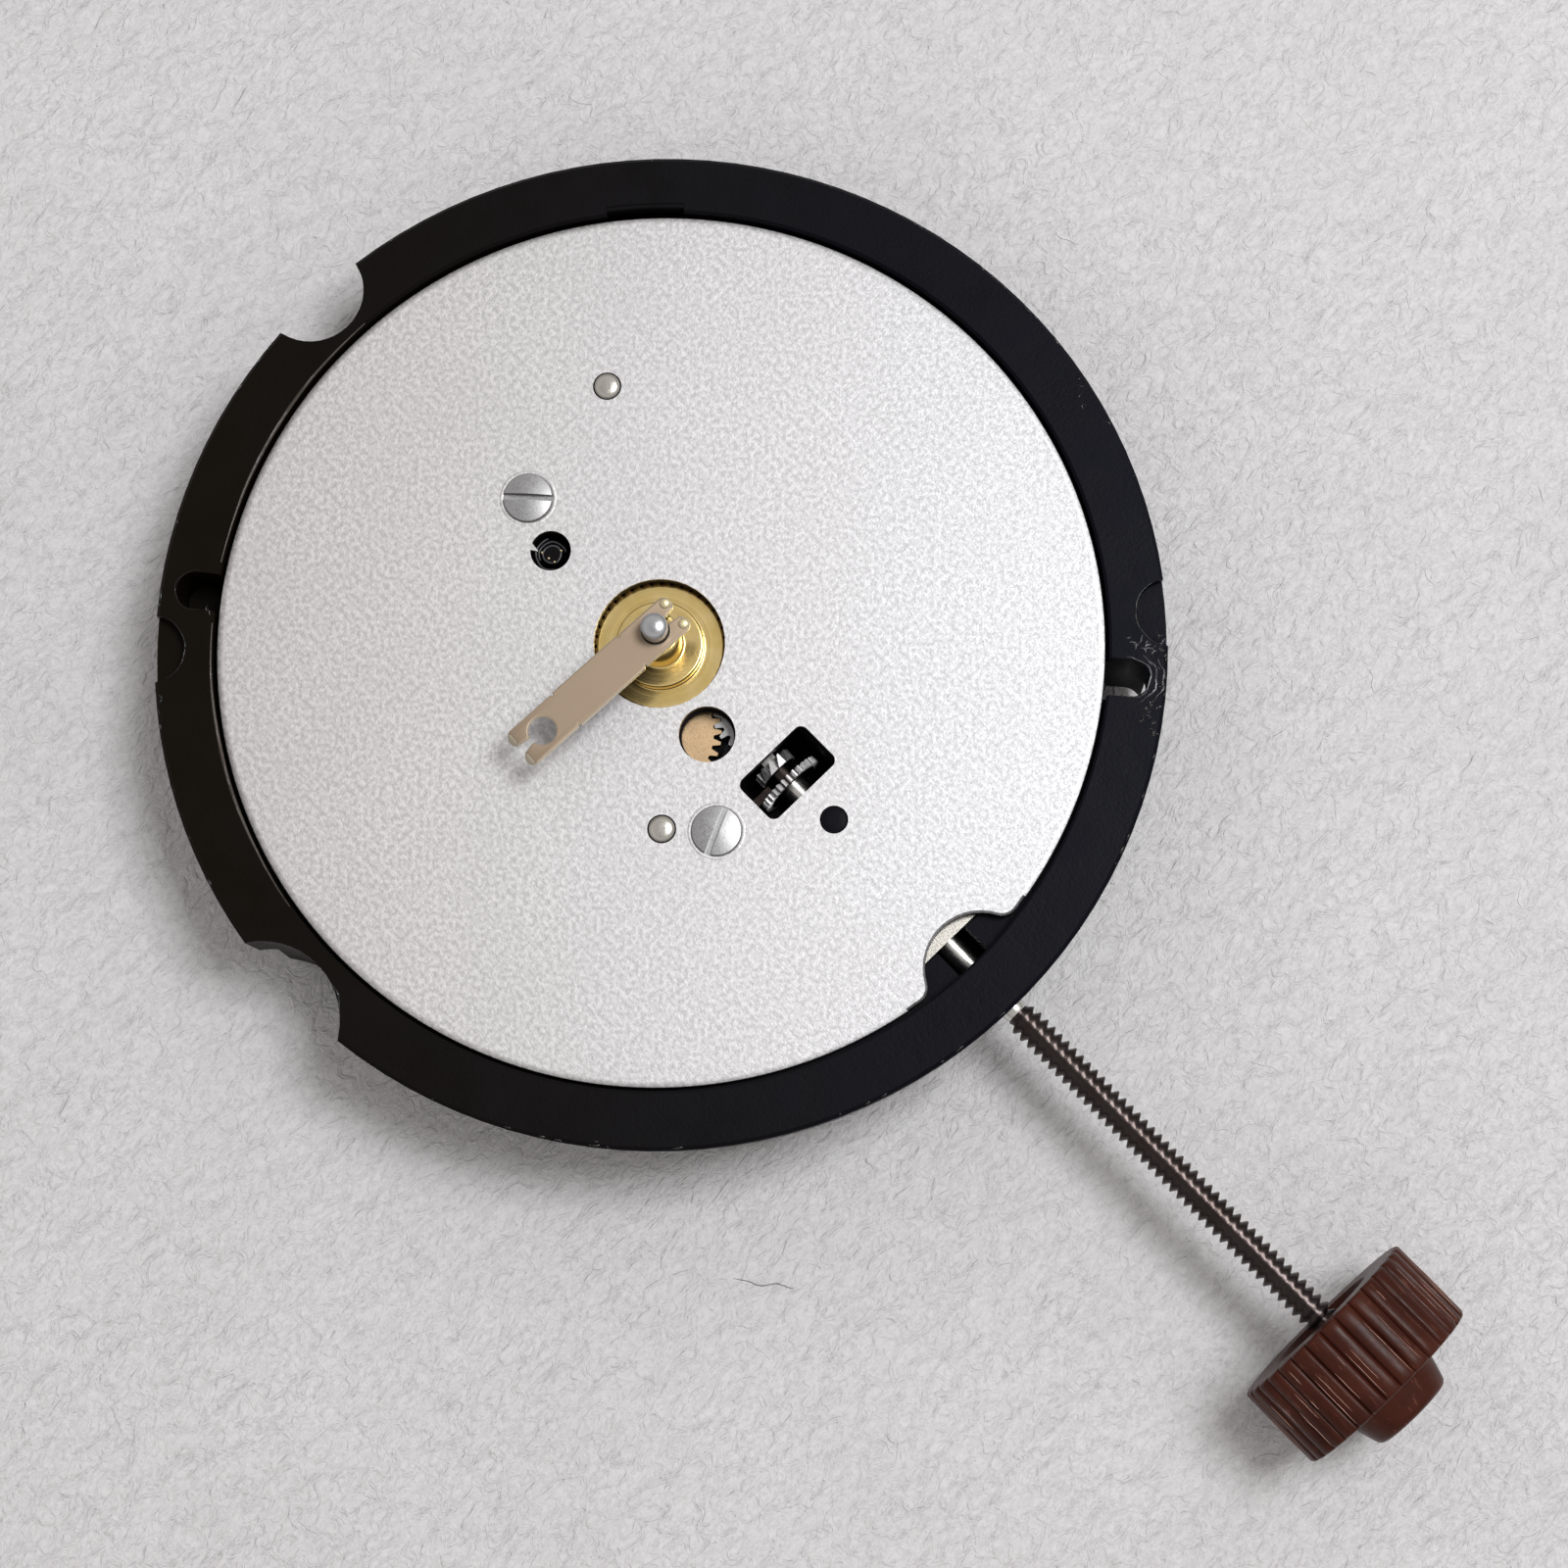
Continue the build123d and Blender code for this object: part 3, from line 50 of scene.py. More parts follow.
# Sizes and places shared with the CAD model
STEM_Z = -1.5
FLANGE_TOP = 0.2
CASE_BACK = -3.4
COVER_UNDER = -3.22
COVER_RADIUS = 11.7
BATTERY_AT = (-3.9864, -5.6931)
COIL_Y = 8.297
COIL_SCREW_X = 5.6
FOOT_SLOT_RADIUS = 12.35
RIGHT_SLOT_ANGLE = 41
LEFT_SLOT_ANGLE = 219
RECESS_ANGLES = (48.9, 226.3)
MINUTE_WHEEL_HOLE = (2.63, -0.79)
BOSS_AT = (-3.82, -0.32)
PIP_AT = (6.57, 0)
PIN_PLACES = ((-6.03, 3.85), (3.61, -3.37))

# Screws: place and the angle of the slot in degrees
DIAL_SCREWS = [((-5.28, 0.24), 43), ((4.65, -2.39), 115)]
BRIDGE_SCREWS = [((-4.4, 1.9), 25), ((4.9, 2.7), 110)]


# Mesh helpers

def placed(name, data):
    made = bpy.data.objects.new(name, data)
    bpy.context.scene.collection.objects.link(made)
    return made


def mesh_object(name, bm, materials):
    """An object made from a bmesh in millimetres; materials is a text of names."""
    bmesh.ops.scale(bm, vec=(MM, MM, MM), verts=bm.verts)
    mesh = bpy.data.meshes.new(name)
    bm.to_mesh(mesh)
    bm.free()
    for material in materials.split():
        mesh.materials.append(surfaces[material])
    return placed(name, mesh)


def bm_piece(name, bm, materials, slot, replaced=None, angle=40, body="movement"):
    """A piece that rides on a body; edges sharper than angle stay sharp."""
    bmesh.ops.remove_doubles(bm, verts=bm.verts, dist=1e-5)
    bmesh.ops.recalc_face_normals(bm, faces=bm.faces)
    piece = mesh_object(name, bm, materials)
    piece.data.validate()
    piece.data.shade_smooth()
    piece.data.set_sharp_from_angle(angle=radians(angle))
    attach(piece, body)
    if replaced:
        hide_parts(replaced)
    return piece


def grid(bm, rows, closed=True, slot=0):
    """Quads between rows of points; closed joins each row's end to its start."""
    made = [[bm.verts.new(point) for point in row] for row in rows]
    count = len(made[0])
    for lower, upper in zip(made, made[1:]):
        for number in range(count if closed else count - 1):
            after = (number + 1) % count
            face = bm.faces.new((lower[number], lower[after], upper[after], upper[number]))
            face.material_index = slot
    return made


def cap(bm, ring, slot=0):
    face = bm.faces.new(ring)
    face.material_index = slot


def block(bm, rows, slot=0):
    """Closed rows of points joined into a skin, with a face over each end."""
    made = grid(bm, rows, slot=slot)
    cap(bm, made[0], slot)
    cap(bm, made[-1], slot)


def lathe(bm, profile, place=(0, 0, 0), segments=96, turn=None, ribs=None, slot=0, ends=True):
    """Turns (radius, height) points about an axis; ribs changes a radius by angle and row."""
    turn = turn or Matrix.Identity(3)
    centre = Vector(place)
    rows = []
    for row, (radius, height) in enumerate(profile):
        points = []
        for number in range(segments):
            angle = FULL * number / segments
            reach = radius + (ribs(angle, row) if ribs else 0)
            point = Vector((reach * cos(angle), reach * sin(angle), height))
            points.append(centre + turn @ point)
        rows.append(points)
    if ends:
        block(bm, rows, slot)
    else:
        grid(bm, rows, slot=slot)


ALONG_X = Matrix(((0, 0, 1), (1, 0, 0), (0, 1, 0)))


def arc(centre, radius, start, end, count):
    """Points on an arc, angles in degrees."""
    points = []
    for number in range(count + 1):
        angle = radians(start + (end - start) * number / count)
        points.append((centre[0] + radius * cos(angle), centre[1] + radius * sin(angle)))
    return points


def plate(name, outline, low, high, bevel, materials, shape=None, **settings):
    """A flat plate with rounded edges; shape may change its bmesh."""
    curve = bpy.data.curves.new(name, "CURVE")
    curve.dimensions = "2D"
    curve.fill_mode = "BOTH"
    spline = curve.splines.new("POLY")
    spline.points.add(len(outline) - 1)
    for point, (x, y) in zip(spline.points, outline):
        point.co = (x, y, 0, 1)
    spline.use_cyclic_u = True
    curve.extrude = (high - low) / 2 - bevel
    curve.bevel_depth = bevel
    curve.bevel_resolution = 3
    curve.offset = -bevel
    holder = placed(name + "_curve", curve)
    bpy.context.view_layer.update()
    mesh = bpy.data.meshes.new_from_object(holder)
    bpy.data.objects.remove(holder)
    bpy.data.curves.remove(curve)
    bm = bmesh.new()
    bm.from_mesh(mesh)
    bpy.data.meshes.remove(mesh)
    bmesh.ops.translate(bm, vec=(0, 0, (high + low) / 2), verts=bm.verts)
    for face in bm.faces:
        face.material_index = 0
    if shape:
        shape(bm)
    bm_piece(name, bm, materials, **settings)


def tube(bm, points, radius, segments=8, slot=0, closed=False):
    """A round bead along points; radius is one number, or a list with one for each point."""
    count = len(points)
    radii = radius if isinstance(radius, list) else [radius] * count
    rows = []
    for number, point in enumerate(points):
        here = Vector(point)
        before = Vector(points[(number - 1) % count] if closed or number else point)
        after = Vector(points[(number + 1) % count] if closed or number < count - 1 else point)
        way = (after - before).normalized()
        side = way.cross(Vector((0, 0, 1)))
        if side.length < 1e-4:
            side = way.cross(Vector((1, 0, 0)))
        side.normalize()
        rise = side.cross(way).normalized()
        ring = []
        for turn in range(segments):
            angle = FULL * turn / segments
            ring.append(here + radii[number] * (cos(angle) * side + sin(angle) * rise))
        rows.append(ring)
    if closed:
        grid(bm, rows + rows[:1], slot=slot)
    else:
        block(bm, rows, slot)


def polar(distance, angle):
    turn = radians(angle)
    return (distance * cos(turn), distance * sin(turn))


# Material helpers

surfaces = {}


def add(tree, kind, inputs=None, **settings):
    """A shader node; inputs maps a socket's name or number to a value or another socket."""
    node = tree.nodes.new(kind)
    for name, value in settings.items():
        setattr(node, name, value)
    for name, value in (inputs or {}).items():
        if isinstance(value, bpy.types.NodeSocket):
            tree.links.new(value, node.inputs[name])
        else:
            node.inputs[name].default_value = value
    return node


def new_surface(name, colour, metallic, roughness, **sockets):
    """Adds a material to surfaces and gives back its node tree and shader."""
    material = bpy.data.materials.new(name)
    material.use_nodes = True
    surfaces[name] = material
    shader = material.node_tree.nodes["Principled BSDF"]
    shader.inputs["Base Color"].default_value = (*colour, 1)
    shader.inputs["Metallic"].default_value = metallic
    shader.inputs["Roughness"].default_value = roughness
    for socket, value in sockets.items():
        shader.inputs[socket.replace("_", " ")].default_value = value
    return material.node_tree, shader


def coordinates(tree, stretch=(1, 1, 1), shift=(0, 0, 0), turn=0):
    place = add(tree, "ShaderNodeTexCoord").outputs["Object"]
    location = [MM * value for value in shift]
    inputs = {"Scale": stretch, "Location": location, "Rotation": (0, 0, turn), "Vector": place}
    return add(tree, "ShaderNodeMapping", inputs).outputs["Vector"]


def axes_of(tree, vector):
    return add(tree, "ShaderNodeSeparateXYZ", {0: vector}).outputs


def mottle(tree, vector, size, detail=2.0, share=0.5):
    """Noise whose patches are about size millimetres across."""
    inputs = {"Scale": 1 / (size * MM), "Detail": detail, "Roughness": share, "Vector": vector}
    return add(tree, "ShaderNodeTexNoise", inputs).outputs["Fac"]


def spread(tree, value, low, high, start=0.3, end=0.7):
    """A value from start to end of the input mapped to low to high."""
    inputs = {"From Min": start, "From Max": end, "To Min": low, "To Max": high, "Value": value}
    return add(tree, "ShaderNodeMapRange", inputs).outputs["Result"]


def mix(tree, share, first, second):
    """Two colours, each a tuple or a socket, mixed by a socket."""
    first, second = [(*value, 1) if isinstance(value, tuple) else value for value in (first, second)]
    inputs = {"Factor": share, 6: first, 7: second}
    return add(tree, "ShaderNodeMix", inputs, data_type="RGBA").outputs[2]


def maths(tree, operation, first, second):
    return add(tree, "ShaderNodeMath", {0: first, 1: second}, operation=operation).outputs[0]


def bump(tree, shader, height, depth, before=None):
    """Relief whose full height is depth millimetres, over an earlier one if given."""
    inputs = {"Strength": 1, "Distance": depth * MM, "Height": height}
    if before:
        inputs["Normal"] = before
    normal = add(tree, "ShaderNodeBump", inputs).outputs["Normal"]
    tree.links.new(normal, shader.inputs["Normal"])
    return normal


def finish(tree, shader, colour, roughness):
    tree.links.new(colour, shader.inputs["Base Color"])
    tree.links.new(roughness, shader.inputs["Roughness"])


def ring_noise(tree, place, size):
    """Noise that only changes with the distance from an upright axis, as turning marks do."""
    axes = axes_of(tree, coordinates(tree, shift=(-place[0], -place[1], 0)))
    across = add(tree, "ShaderNodeCombineXYZ", {"X": axes["X"], "Y": axes["Y"]}).outputs[0]
    distance = add(tree, "ShaderNodeVectorMath", {0: across}, operation="LENGTH").outputs["Value"]
    angle = maths(tree, "ARCTAN2", axes["Y"], axes["X"])
    sideways = maths(tree, "MULTIPLY", angle, 0.05 * size * MM)
    vector = add(tree, "ShaderNodeCombineXYZ", {"X": distance, "Y": sideways}).outputs[0]
    return mottle(tree, vector, size, detail=3.0, share=0.6)


# Materials

# The line across the movement along which painted warm light turns into painted cool light, and how far it
# reaches; the floor's fibres also run along this line.
SIDEWAYS_ANGLE = 45.9
SIDE_TINT_REACH = 13
# Depths below the plate's face where its painted wall shade starts and where it is full.
WALL_TOP = -0.03
WALL_LOW = -0.1


def painted_side_share(tree):
    """A share from 0 to 1 across the movement, along a line at the angle above to the stem; it blends painted
    warm light on one side into painted cool light on the other.
    """
    along = axes_of(tree, coordinates(tree, turn=radians(-SIDEWAYS_ANGLE)))["X"]
    return spread(tree, along, 0, 1, -SIDE_TINT_REACH * MM, SIDE_TINT_REACH * MM)


def make_plastic(name, colour, other, roughness, grain=0.09, gloss=0.3, tint=None):
    """Moulded plastic with a fine skin, soft waves and patches of scuffing; tint is painted warm light on one
    side of the movement.
    """
    tree, shader = new_surface(name, colour, 0, roughness, Specular_IOR_Level=gloss)
    vector = coordinates(tree)
    patches = mottle(tree, vector, 1.6, 4.0, 0.6)
    skin = mottle(tree, vector, grain, 3.0, 0.6)
    base = mix(tree, spread(tree, patches, 0, 1, 0.35, 0.65), colour, other)
    # Painted warm light: the tint covers one side and gives way to the plain colour across the movement.
    if tint:
        base = mix(tree, painted_side_share(tree), tint, base)
    finish(tree, shader, base, spread(tree, patches, roughness - 0.08, roughness + 0.1))
    waves = bump(tree, shader, patches, 0.02)
    bump(tree, shader, skin, 0.006, waves)


def make_silver_plate():
    """Bead-blasted plate: close bright grains with a soft sheen, painted warm and cool light on its two
    sides, and painted shade that darkens its sheared walls.
    """
    tree, shader = new_surface("silver_plate", (0.56, 0.555, 0.56), 1, 0.55)
    vector = coordinates(tree)
    grain = mottle(tree, vector, 0.13, 2.0, 0.6)
    fine = mottle(tree, vector, 0.05, 1.0, 0.5)
    clouds = mottle(tree, vector, 3.5, 2.0, 0.5)
    flecks = spread(tree, grain, 0, 1, 0.36, 0.64)
    # Painted light: warmer grains on the side away from the lamp, cooler grains towards it.
    warm = mix(tree, flecks, (0.505, 0.492, 0.486), (0.707, 0.691, 0.682))
    cool = mix(tree, flecks, (0.472, 0.475, 0.489), (0.656, 0.66, 0.68))
    speckle = mix(tree, painted_side_share(tree), warm, cool)
    cloudy = mix(tree, spread(tree, clouds, 0, 0.22), speckle, (0.515, 0.506, 0.506))
    # Painted shade: the plate darkens below its face, on the walls of its holes and edge.
    wall = spread(tree, axes_of(tree, vector)["Z"], 1, 0, WALL_LOW * MM, WALL_TOP * MM)
    walled = mix(tree, wall, cloudy, (0.022, 0.018, 0.016))
    finish(tree, shader, walled, spread(tree, fine, 0.48, 0.62))
    coarse = bump(tree, shader, grain, 0.006)
    bump(tree, shader, fine, 0.003, coarse)


def weather(tree, shader, colour, stain, clouds, marks, depth, *gloss):
    """Stain in clouds over a metal, and marks that vary its roughness."""
    patches = mottle(tree, coordinates(tree), clouds, 3.0, 0.55)
    tone = mix(tree, spread(tree, patches, 0, 1, 0.35, 0.75), colour, stain)
    finish(tree, shader, tone, spread(tree, marks, *gloss))
    bump(tree, shader, marks, depth)


def make_metal(name, colour, roughness, streak=(1, 1, 1), size=0.05, depth=0.0012, stain=None, vary=0.28):
    """Metal with fine marks that streak stretches along an axis; vary is the gloss's range."""
    tree, shader = new_surface(name, colour, 1, roughness)
    marks = mottle(tree, coordinates(tree, streak), size, 3.0, 0.6)
    stain = stain or tuple(0.82 * value for value in colour)
    weather(tree, shader, colour, stain, 0.7, marks, depth, roughness * (1 - vary), roughness * (1 + vary))


def make_turned(name, colour, roughness, place, size=0.035, depth=0.0016, stain=None):
    """Metal turned about an upright axis, with ring marks that stretch a highlight."""
    tree, shader = new_surface(name, colour, 1, roughness)
    rings = ring_noise(tree, place, size)
    stain = stain or tuple(0.8 * value for value in colour)
    weather(tree, shader, colour, stain, 0.5, rings, depth, roughness * 0.8, roughness * 1.25)


def make_crown_plastic():
    """Brown plastic with darker patches and pale streaks along the ribs."""
    tree, shader = new_surface("crown_brown", (0.035, 0.009, 0.005), 0, 0.38, Specular_IOR_Level=0.14)
    vector = coordinates(tree)
    patches = mottle(tree, vector, 1.3, 4.0, 0.6)
    streaks = mottle(tree, coordinates(tree, (0.25, 1, 1)), 0.16, 3.0, 0.65)
    blotches = spread(tree, patches, 0, 1, 0.35, 0.65)
    base = mix(tree, blotches, (0.036, 0.0082, 0.0042), (0.06, 0.0145, 0.0075))
    pale_streaks = spread(tree, streaks, 0, 0.45, 0.6, 0.75)
    streaked = mix(tree, pale_streaks, base, (0.22, 0.085, 0.055))
    finish(tree, shader, streaked, spread(tree, streaks, 0.28, 0.46))
    waves = bump(tree, shader, patches, 0.02)
    bump(tree, shader, streaks, 0.006, waves)


TRACK_SPACING = 1.1


def make_board():
    """Green lacquer over copper tracks."""
    tree, shader = new_surface("green_board", (0.02, 0.12, 0.05), 0, 0.35, Coat_Weight=0.4)
    inputs = {"Scale": 1 / (TRACK_SPACING * MM), "Vector": coordinates(tree)}
    tracks = add(tree, "ShaderNodeTexVoronoi", inputs, feature="DISTANCE_TO_EDGE")
    edge = spread(tree, tracks.outputs["Distance"], 1, 0, 0.03, 0.05)
    weave = mottle(tree, coordinates(tree), 0.12, 2.0, 0.5)
    lacquer = mix(tree, spread(tree, weave, 0, 1), (0.014, 0.085, 0.035), (0.02, 0.12, 0.05))
    tree.links.new(mix(tree, edge, lacquer, (0.03, 0.2, 0.08)), shader.inputs["Base Color"])
    raised = bump(tree, shader, edge, 0.02)
    bump(tree, shader, weave, 0.004, raised)


# Black plastic, bluish, with painted warm light on the side away from the lamp.
black_warm_side_light = (0.0052, 0.0037, 0.0014)
black_blues = ((0.0028, 0.0032, 0.0068), (0.0038, 0.0042, 0.0092))
make_plastic("black_plastic", *black_blues, 0.42, 0.09, 0.06, black_warm_side_light)
make_plastic("glossy_black", (0.006, 0.006, 0.0065), (0.012, 0.0115, 0.012), 0.24, 0.2, 0.5)
# Lighter black for raised burrs and rings: partly scuffed plastic, partly a painted highlight on them.
make_plastic("scuffs_and_highlight_black", (0.02, 0.02, 0.025), (0.055, 0.055, 0.063), 0.28, 0.2, 0.7)
# Pale brownish black for the lip line: a painted highlight.
make_plastic("lip_highlight_black", (0.03, 0.022, 0.016), (0.06, 0.045, 0.034), 0.3, 0.2, 0.5)
# Pale brown for the lines along the crown's ribs.
make_plastic("pale_crest_brown", (0.2, 0.085, 0.06), (0.34, 0.18, 0.13), 0.3, 0.2, 0.4)
make_plastic("cream_plastic", (0.62, 0.56, 0.44), (0.55, 0.49, 0.37), 0.5)
make_plastic("chip_resin", (0.01, 0.01, 0.01), (0.02, 0.02, 0.02), 0.5)
make_silver_plate()
make_metal("steel", (0.43, 0.43, 0.435), 0.38)
# Very pale steel for the pinion's teeth: a painted highlight.
make_metal("pinion_steel", (0.95, 0.95, 0.96), 0.5)
make_metal("stem_steel", (0.74, 0.73, 0.7), 0.3, streak=(0.2, 1, 1), size=0.03)
# Dark steel paints shade on the stem's thread, the screws' slot walls and the pinion's body; the yoke is
# finished in it too.
make_metal("dark_steel", (0.055, 0.045, 0.043), 0.24, stain=(0.04, 0.03, 0.027))
make_metal("nickel", (0.72, 0.7, 0.64), 0.24)
make_metal("clip_metal", (0.335, 0.26, 0.19), 0.5, (1, 1, 1), 0.1, 0.0002, (0.325, 0.251, 0.183), 0.04)
# Copies of the clip metal: a shaded one paints shade under the clip, and lit ones paint highlights on its
# edges, its tips and the boss's specks.
make_metal("clip_under", (0.03, 0.014, 0.005), 0.6, stain=(0.02, 0.01, 0.004))
make_metal("clip_edge", (0.78, 0.7, 0.55), 0.45)
make_metal("highlight_metal", (0.9, 0.78, 0.5), 0.45)
make_turned("brass", (0.95, 0.74, 0.33), 0.2, (0, 0), 0.06, 0.0009, (0.86, 0.63, 0.22))
# Dark brass for the hour wheel's toothed rim: painted shade under the plate's edge.
make_turned("aged_brass", (0.2, 0.115, 0.03), 0.3, (0, 0))
make_metal("train_brass", (0.75, 0.55, 0.2), 0.3)
make_turned("post_steel", (0.62, 0.63, 0.65), 0.22, (0, 0), size=0.05)
make_metal("rose_gold", (0.6, 0.425, 0.25), 0.36)
make_metal("cover_steel", (0.6, 0.59, 0.56), 0.3, (0.04, 1, 1), 0.05, 0.003, (0.55, 0.54, 0.51), 0.35)
make_metal("can_steel", (0.62, 0.61, 0.58), 0.26, size=0.08)
make_metal("soft_iron", (0.42, 0.42, 0.43), 0.4)
make_metal("magnet", (0.2, 0.2, 0.21), 0.35)
make_metal("copper_wire", (0.66, 0.26, 0.11), 0.26, size=0.4)
make_metal("solder", (0.5, 0.5, 0.5), 0.34, size=0.12, depth=0.004)
make_crown_plastic()
make_board()
make_turned("battery_steel", (0.66, 0.66, 0.66), 0.24, BATTERY_AT, size=0.06)

# The surface of each CAD node, seen where no piece made here replaces it
finishes = {
    "black_plastic": "main_plate",
    "silver_plate": "dial_plate",
    "rose_gold": "minute_wheel",
    "train_brass": "centre_wheel third_wheel intermediate_wheel",
    "steel": "minute_pinion setting_wheel third_pinion intermediate_pinion rotor_pinion coil_screws "
    "bridge_screws cover_screws dial_plate_screws setting_lever",
    "magnet": "rotor_magnet",
    "soft_iron": "stator coil_core",
    "cream_plastic": "coil_bobbin",
    "copper_wire": "coil_winding",
    "nickel": "train_bridge quartz_crystal negative_contact positive_contact lever_cover locating_pins",
    "green_board": "circuit_board",
    "chip_resin": "ic_chip",
    "battery_steel": "battery",
    "cover_steel": "battery_clamp circuit_cover",
    "dark_steel": "yoke",
    "pinion_steel": "sliding_pinion",
    "brass": "hour_wheel",
    "post_steel": "cannon_pinion",
    "stem_steel": "setting_stem",
    "crown_brown": "crown",
    "clip_metal": "keeper_clip",
}
for surface, node_names in finishes.items():
    for node_name in node_names.split():
        slots = nodes[node_name].data.materials
        slots.clear()
        slots.append(surfaces[surface])


# Stem and crown

THREAD_START = 13.4
THREAD_END = 24.85
THREAD_RADIUS = 0.45
THREAD_DEPTH = 0.15
THREAD_PITCH = 0.26
THREAD_RUN_OUT = 0.2
THREAD_LEAN = 0.12
SQUARE_HALF = 0.23
SQUARE_EASE = 0.035
SQUARE_START = 3.3
SQUARE_END = 5.0


def thread_point(turns, share, depth):
    """A point of the helix: share is the place along one pitch, depth 1 is the root."""
    along = THREAD_START + (turns - 1 + share) * THREAD_PITCH
    left = max(0, (along - THREAD_START) / THREAD_RUN_OUT)
    right = max(0, (THREAD_END - along) / THREAD_RUN_OUT)
    reach = THREAD_RADIUS - THREAD_DEPTH + (1 - depth) * THREAD_DEPTH * min(1, left, right)
    angle = FULL * turns
    along = min(max(along, THREAD_START), THREAD_END)
    return Vector((along, reach * cos(angle), STEM_Z + reach * sin(angle)))


def make_thread():
    """A real helix, shaded close to a plain rod so that light runs along it in one line."""
    shares = [0, 0.14, 0.5, 0.64]
    depths = [1, 1, 0, 0]
    around = 36
    total = int((THREAD_END - THREAD_START) / THREAD_PITCH * around)
    bm = bmesh.new()
    columns = []
    for number in range(total + around + 1):
        turns = number / around
        columns.append([bm.verts.new(thread_point(turns, *pair)) for pair in zip(shares, depths)])
    for number in range(total):
        here = columns[number] + [columns[number + around][0]]
        there = columns[number + 1] + [columns[number + around + 1][0]]
        for share in range(len(shares)):
            bm.faces.new((here[share], there[share], there[share + 1], here[share + 1]))
    # The dark steel paints the shade and dark reflections of the thread's flanks.
    piece = bm_piece("stem_thread", bm, "dark_steel", "dark_steel", body="stem_body")
    normals = []
    for vert in piece.data.vertices:
        outward = Vector((0, vert.co.y, vert.co.z - STEM_Z * MM)).normalized()
        outward.x = THREAD_LEAN * vert.normal.x
        normals.append(outward.normalized())
    piece.data.normals_split_custom_set_from_vertices(normals)


def make_stem():
    """Turned stem: pilot, square, shaft with the detent's groove, and the thread."""
    bm = bmesh.new()
    pilot = [(0.12, 2.25), (0.2, 2.3), (0.22, 2.36), (0.22, 3.3)]
    lathe(bm, pilot, (0, 0, STEM_Z), 40, ALONG_X)
    ring = []
    for side_y, side_z in ((1, 1), (-1, 1), (-1, -1), (1, -1)):
        first = (side_y * SQUARE_HALF, side_z * (SQUARE_HALF - SQUARE_EASE))
        second = (side_y * (SQUARE_HALF - SQUARE_EASE), side_z * SQUARE_HALF)
        ring += (first, second) if side_y * side_z > 0 else (second, first)
    rows = [[(x, y, STEM_Z + z) for y, z in ring] for x in (SQUARE_START, SQUARE_END)]
    made = grid(bm, rows)
    cap(bm, made[0])
    shaft = [(0.23, 4.92), (0.335, 4.98), (0.335, 8.02), (0.31, 8.05), (0.2, 8.05), (0.2, 8.55)]
    shaft += [(0.31, 8.55), (0.335, 8.58), (0.335, 13.3), (0.3, 13.4), (0.28, 13.45)]
    lathe(bm, shaft, (0, 0, STEM_Z), 56, ALONG_X)
    bm_piece("turned_stem", bm, "stem_steel", "steel", "setting_stem", 30, "stem_body")
    make_thread()


CROWN_X = 24.4
CROWN_RIBS = 32
RIB_STEPS = 12
RIB_HEIGHT = 0.13
RIB_SHAPE = 0.3
CREST_RADIUS = 2.714
CREST_END = 2.28
CREST_LOWEST = -0.97


def make_crown():
    """Fluted crown: ribs and narrow grooves that run out into rounded shoulders, and a hub."""
    profile = [(0.45, 0.5), (0.45, 0.3), (1.3, 0.3), (1.44, 0.24), (1.5, 0.1), (1.56, 0.01), (1.62, 0)]
    profile += [(2.5, 0), (2.62, 0), (2.69, 0.025), (2.72, 0.08)]
    profile += [(2.72, reach) for reach in (0.4, 0.8, 1.2, 1.6, 2.0, 2.32)]
    profile += [(2.69, 2.375), (2.62, 2.4), (2.5, 2.4)]
    profile += [(2.3, 2.4), (1.5, 2.4), (1.41, 2.42), (1.37, 2.49), (1.32, 2.7), (1.2, 3.1), (1.16, 3.2)]
    profile += [(1.1, 3.26), (1.0, 3.295), (0.6, 3.3), (0.2, 3.3)]
    shares = [0] * 7 + [0.3, 0.7, 0.95] + [1] * 7 + [0.95, 0.7, 0.3] + [0] * 11

    def flute(angle, row):
        place = (angle * CROWN_RIBS / FULL) % 1
        valley = 1 - sin(pi * place) ** RIB_SHAPE
        return -RIB_HEIGHT * valley * shares[row]

    bm = bmesh.new()
    lathe(bm, profile, (CROWN_X, 0, STEM_Z), CROWN_RIBS * RIB_STEPS, ALONG_X, flute)
    bm_piece("fluted_crown", bm, "crown_brown", "crown_brown", "crown", 45, "stem_body")


def make_crest_lines():
    """Pale lines along the ribs, left out where the crown touches the floor."""
    crest_dice = random.Random(5)
    bm = bmesh.new()
    for rib in range(CROWN_RIBS):
        for side in (0.2, 0.5, 0.8):
            if crest_dice.random() < 0.45:
                continue
            angle = FULL * (rib + side + crest_dice.uniform(-0.05, 0.05)) / CROWN_RIBS
            start = crest_dice.uniform(0.12, 1.2)
            end = min(CREST_END, start + crest_dice.uniform(0.3, 1.9))
            if sin(angle) < CREST_LOWEST:
                continue
            points = []
            for number in range(7):
                along = CROWN_X + start + (end - start) * number / 6
                turn = angle + crest_dice.uniform(-0.003, 0.003)
                points.append((along, CREST_RADIUS * cos(turn), STEM_Z + CREST_RADIUS * sin(turn)))
            tube(bm, points, [0.004, 0.011, 0.014, 0.012, 0.014, 0.01, 0.004], 6)
    bm_piece("pale_crest_lines", bm, "pale_crest_brown", "crown_brown", angle=60, body="stem_body")


# Metal pieces of the dial side

SLOT_HALF = 0.085
SLOT_DEPTH = 0.52
HEAD_DOME = 0.18
HEAD_EDGE = 0.1


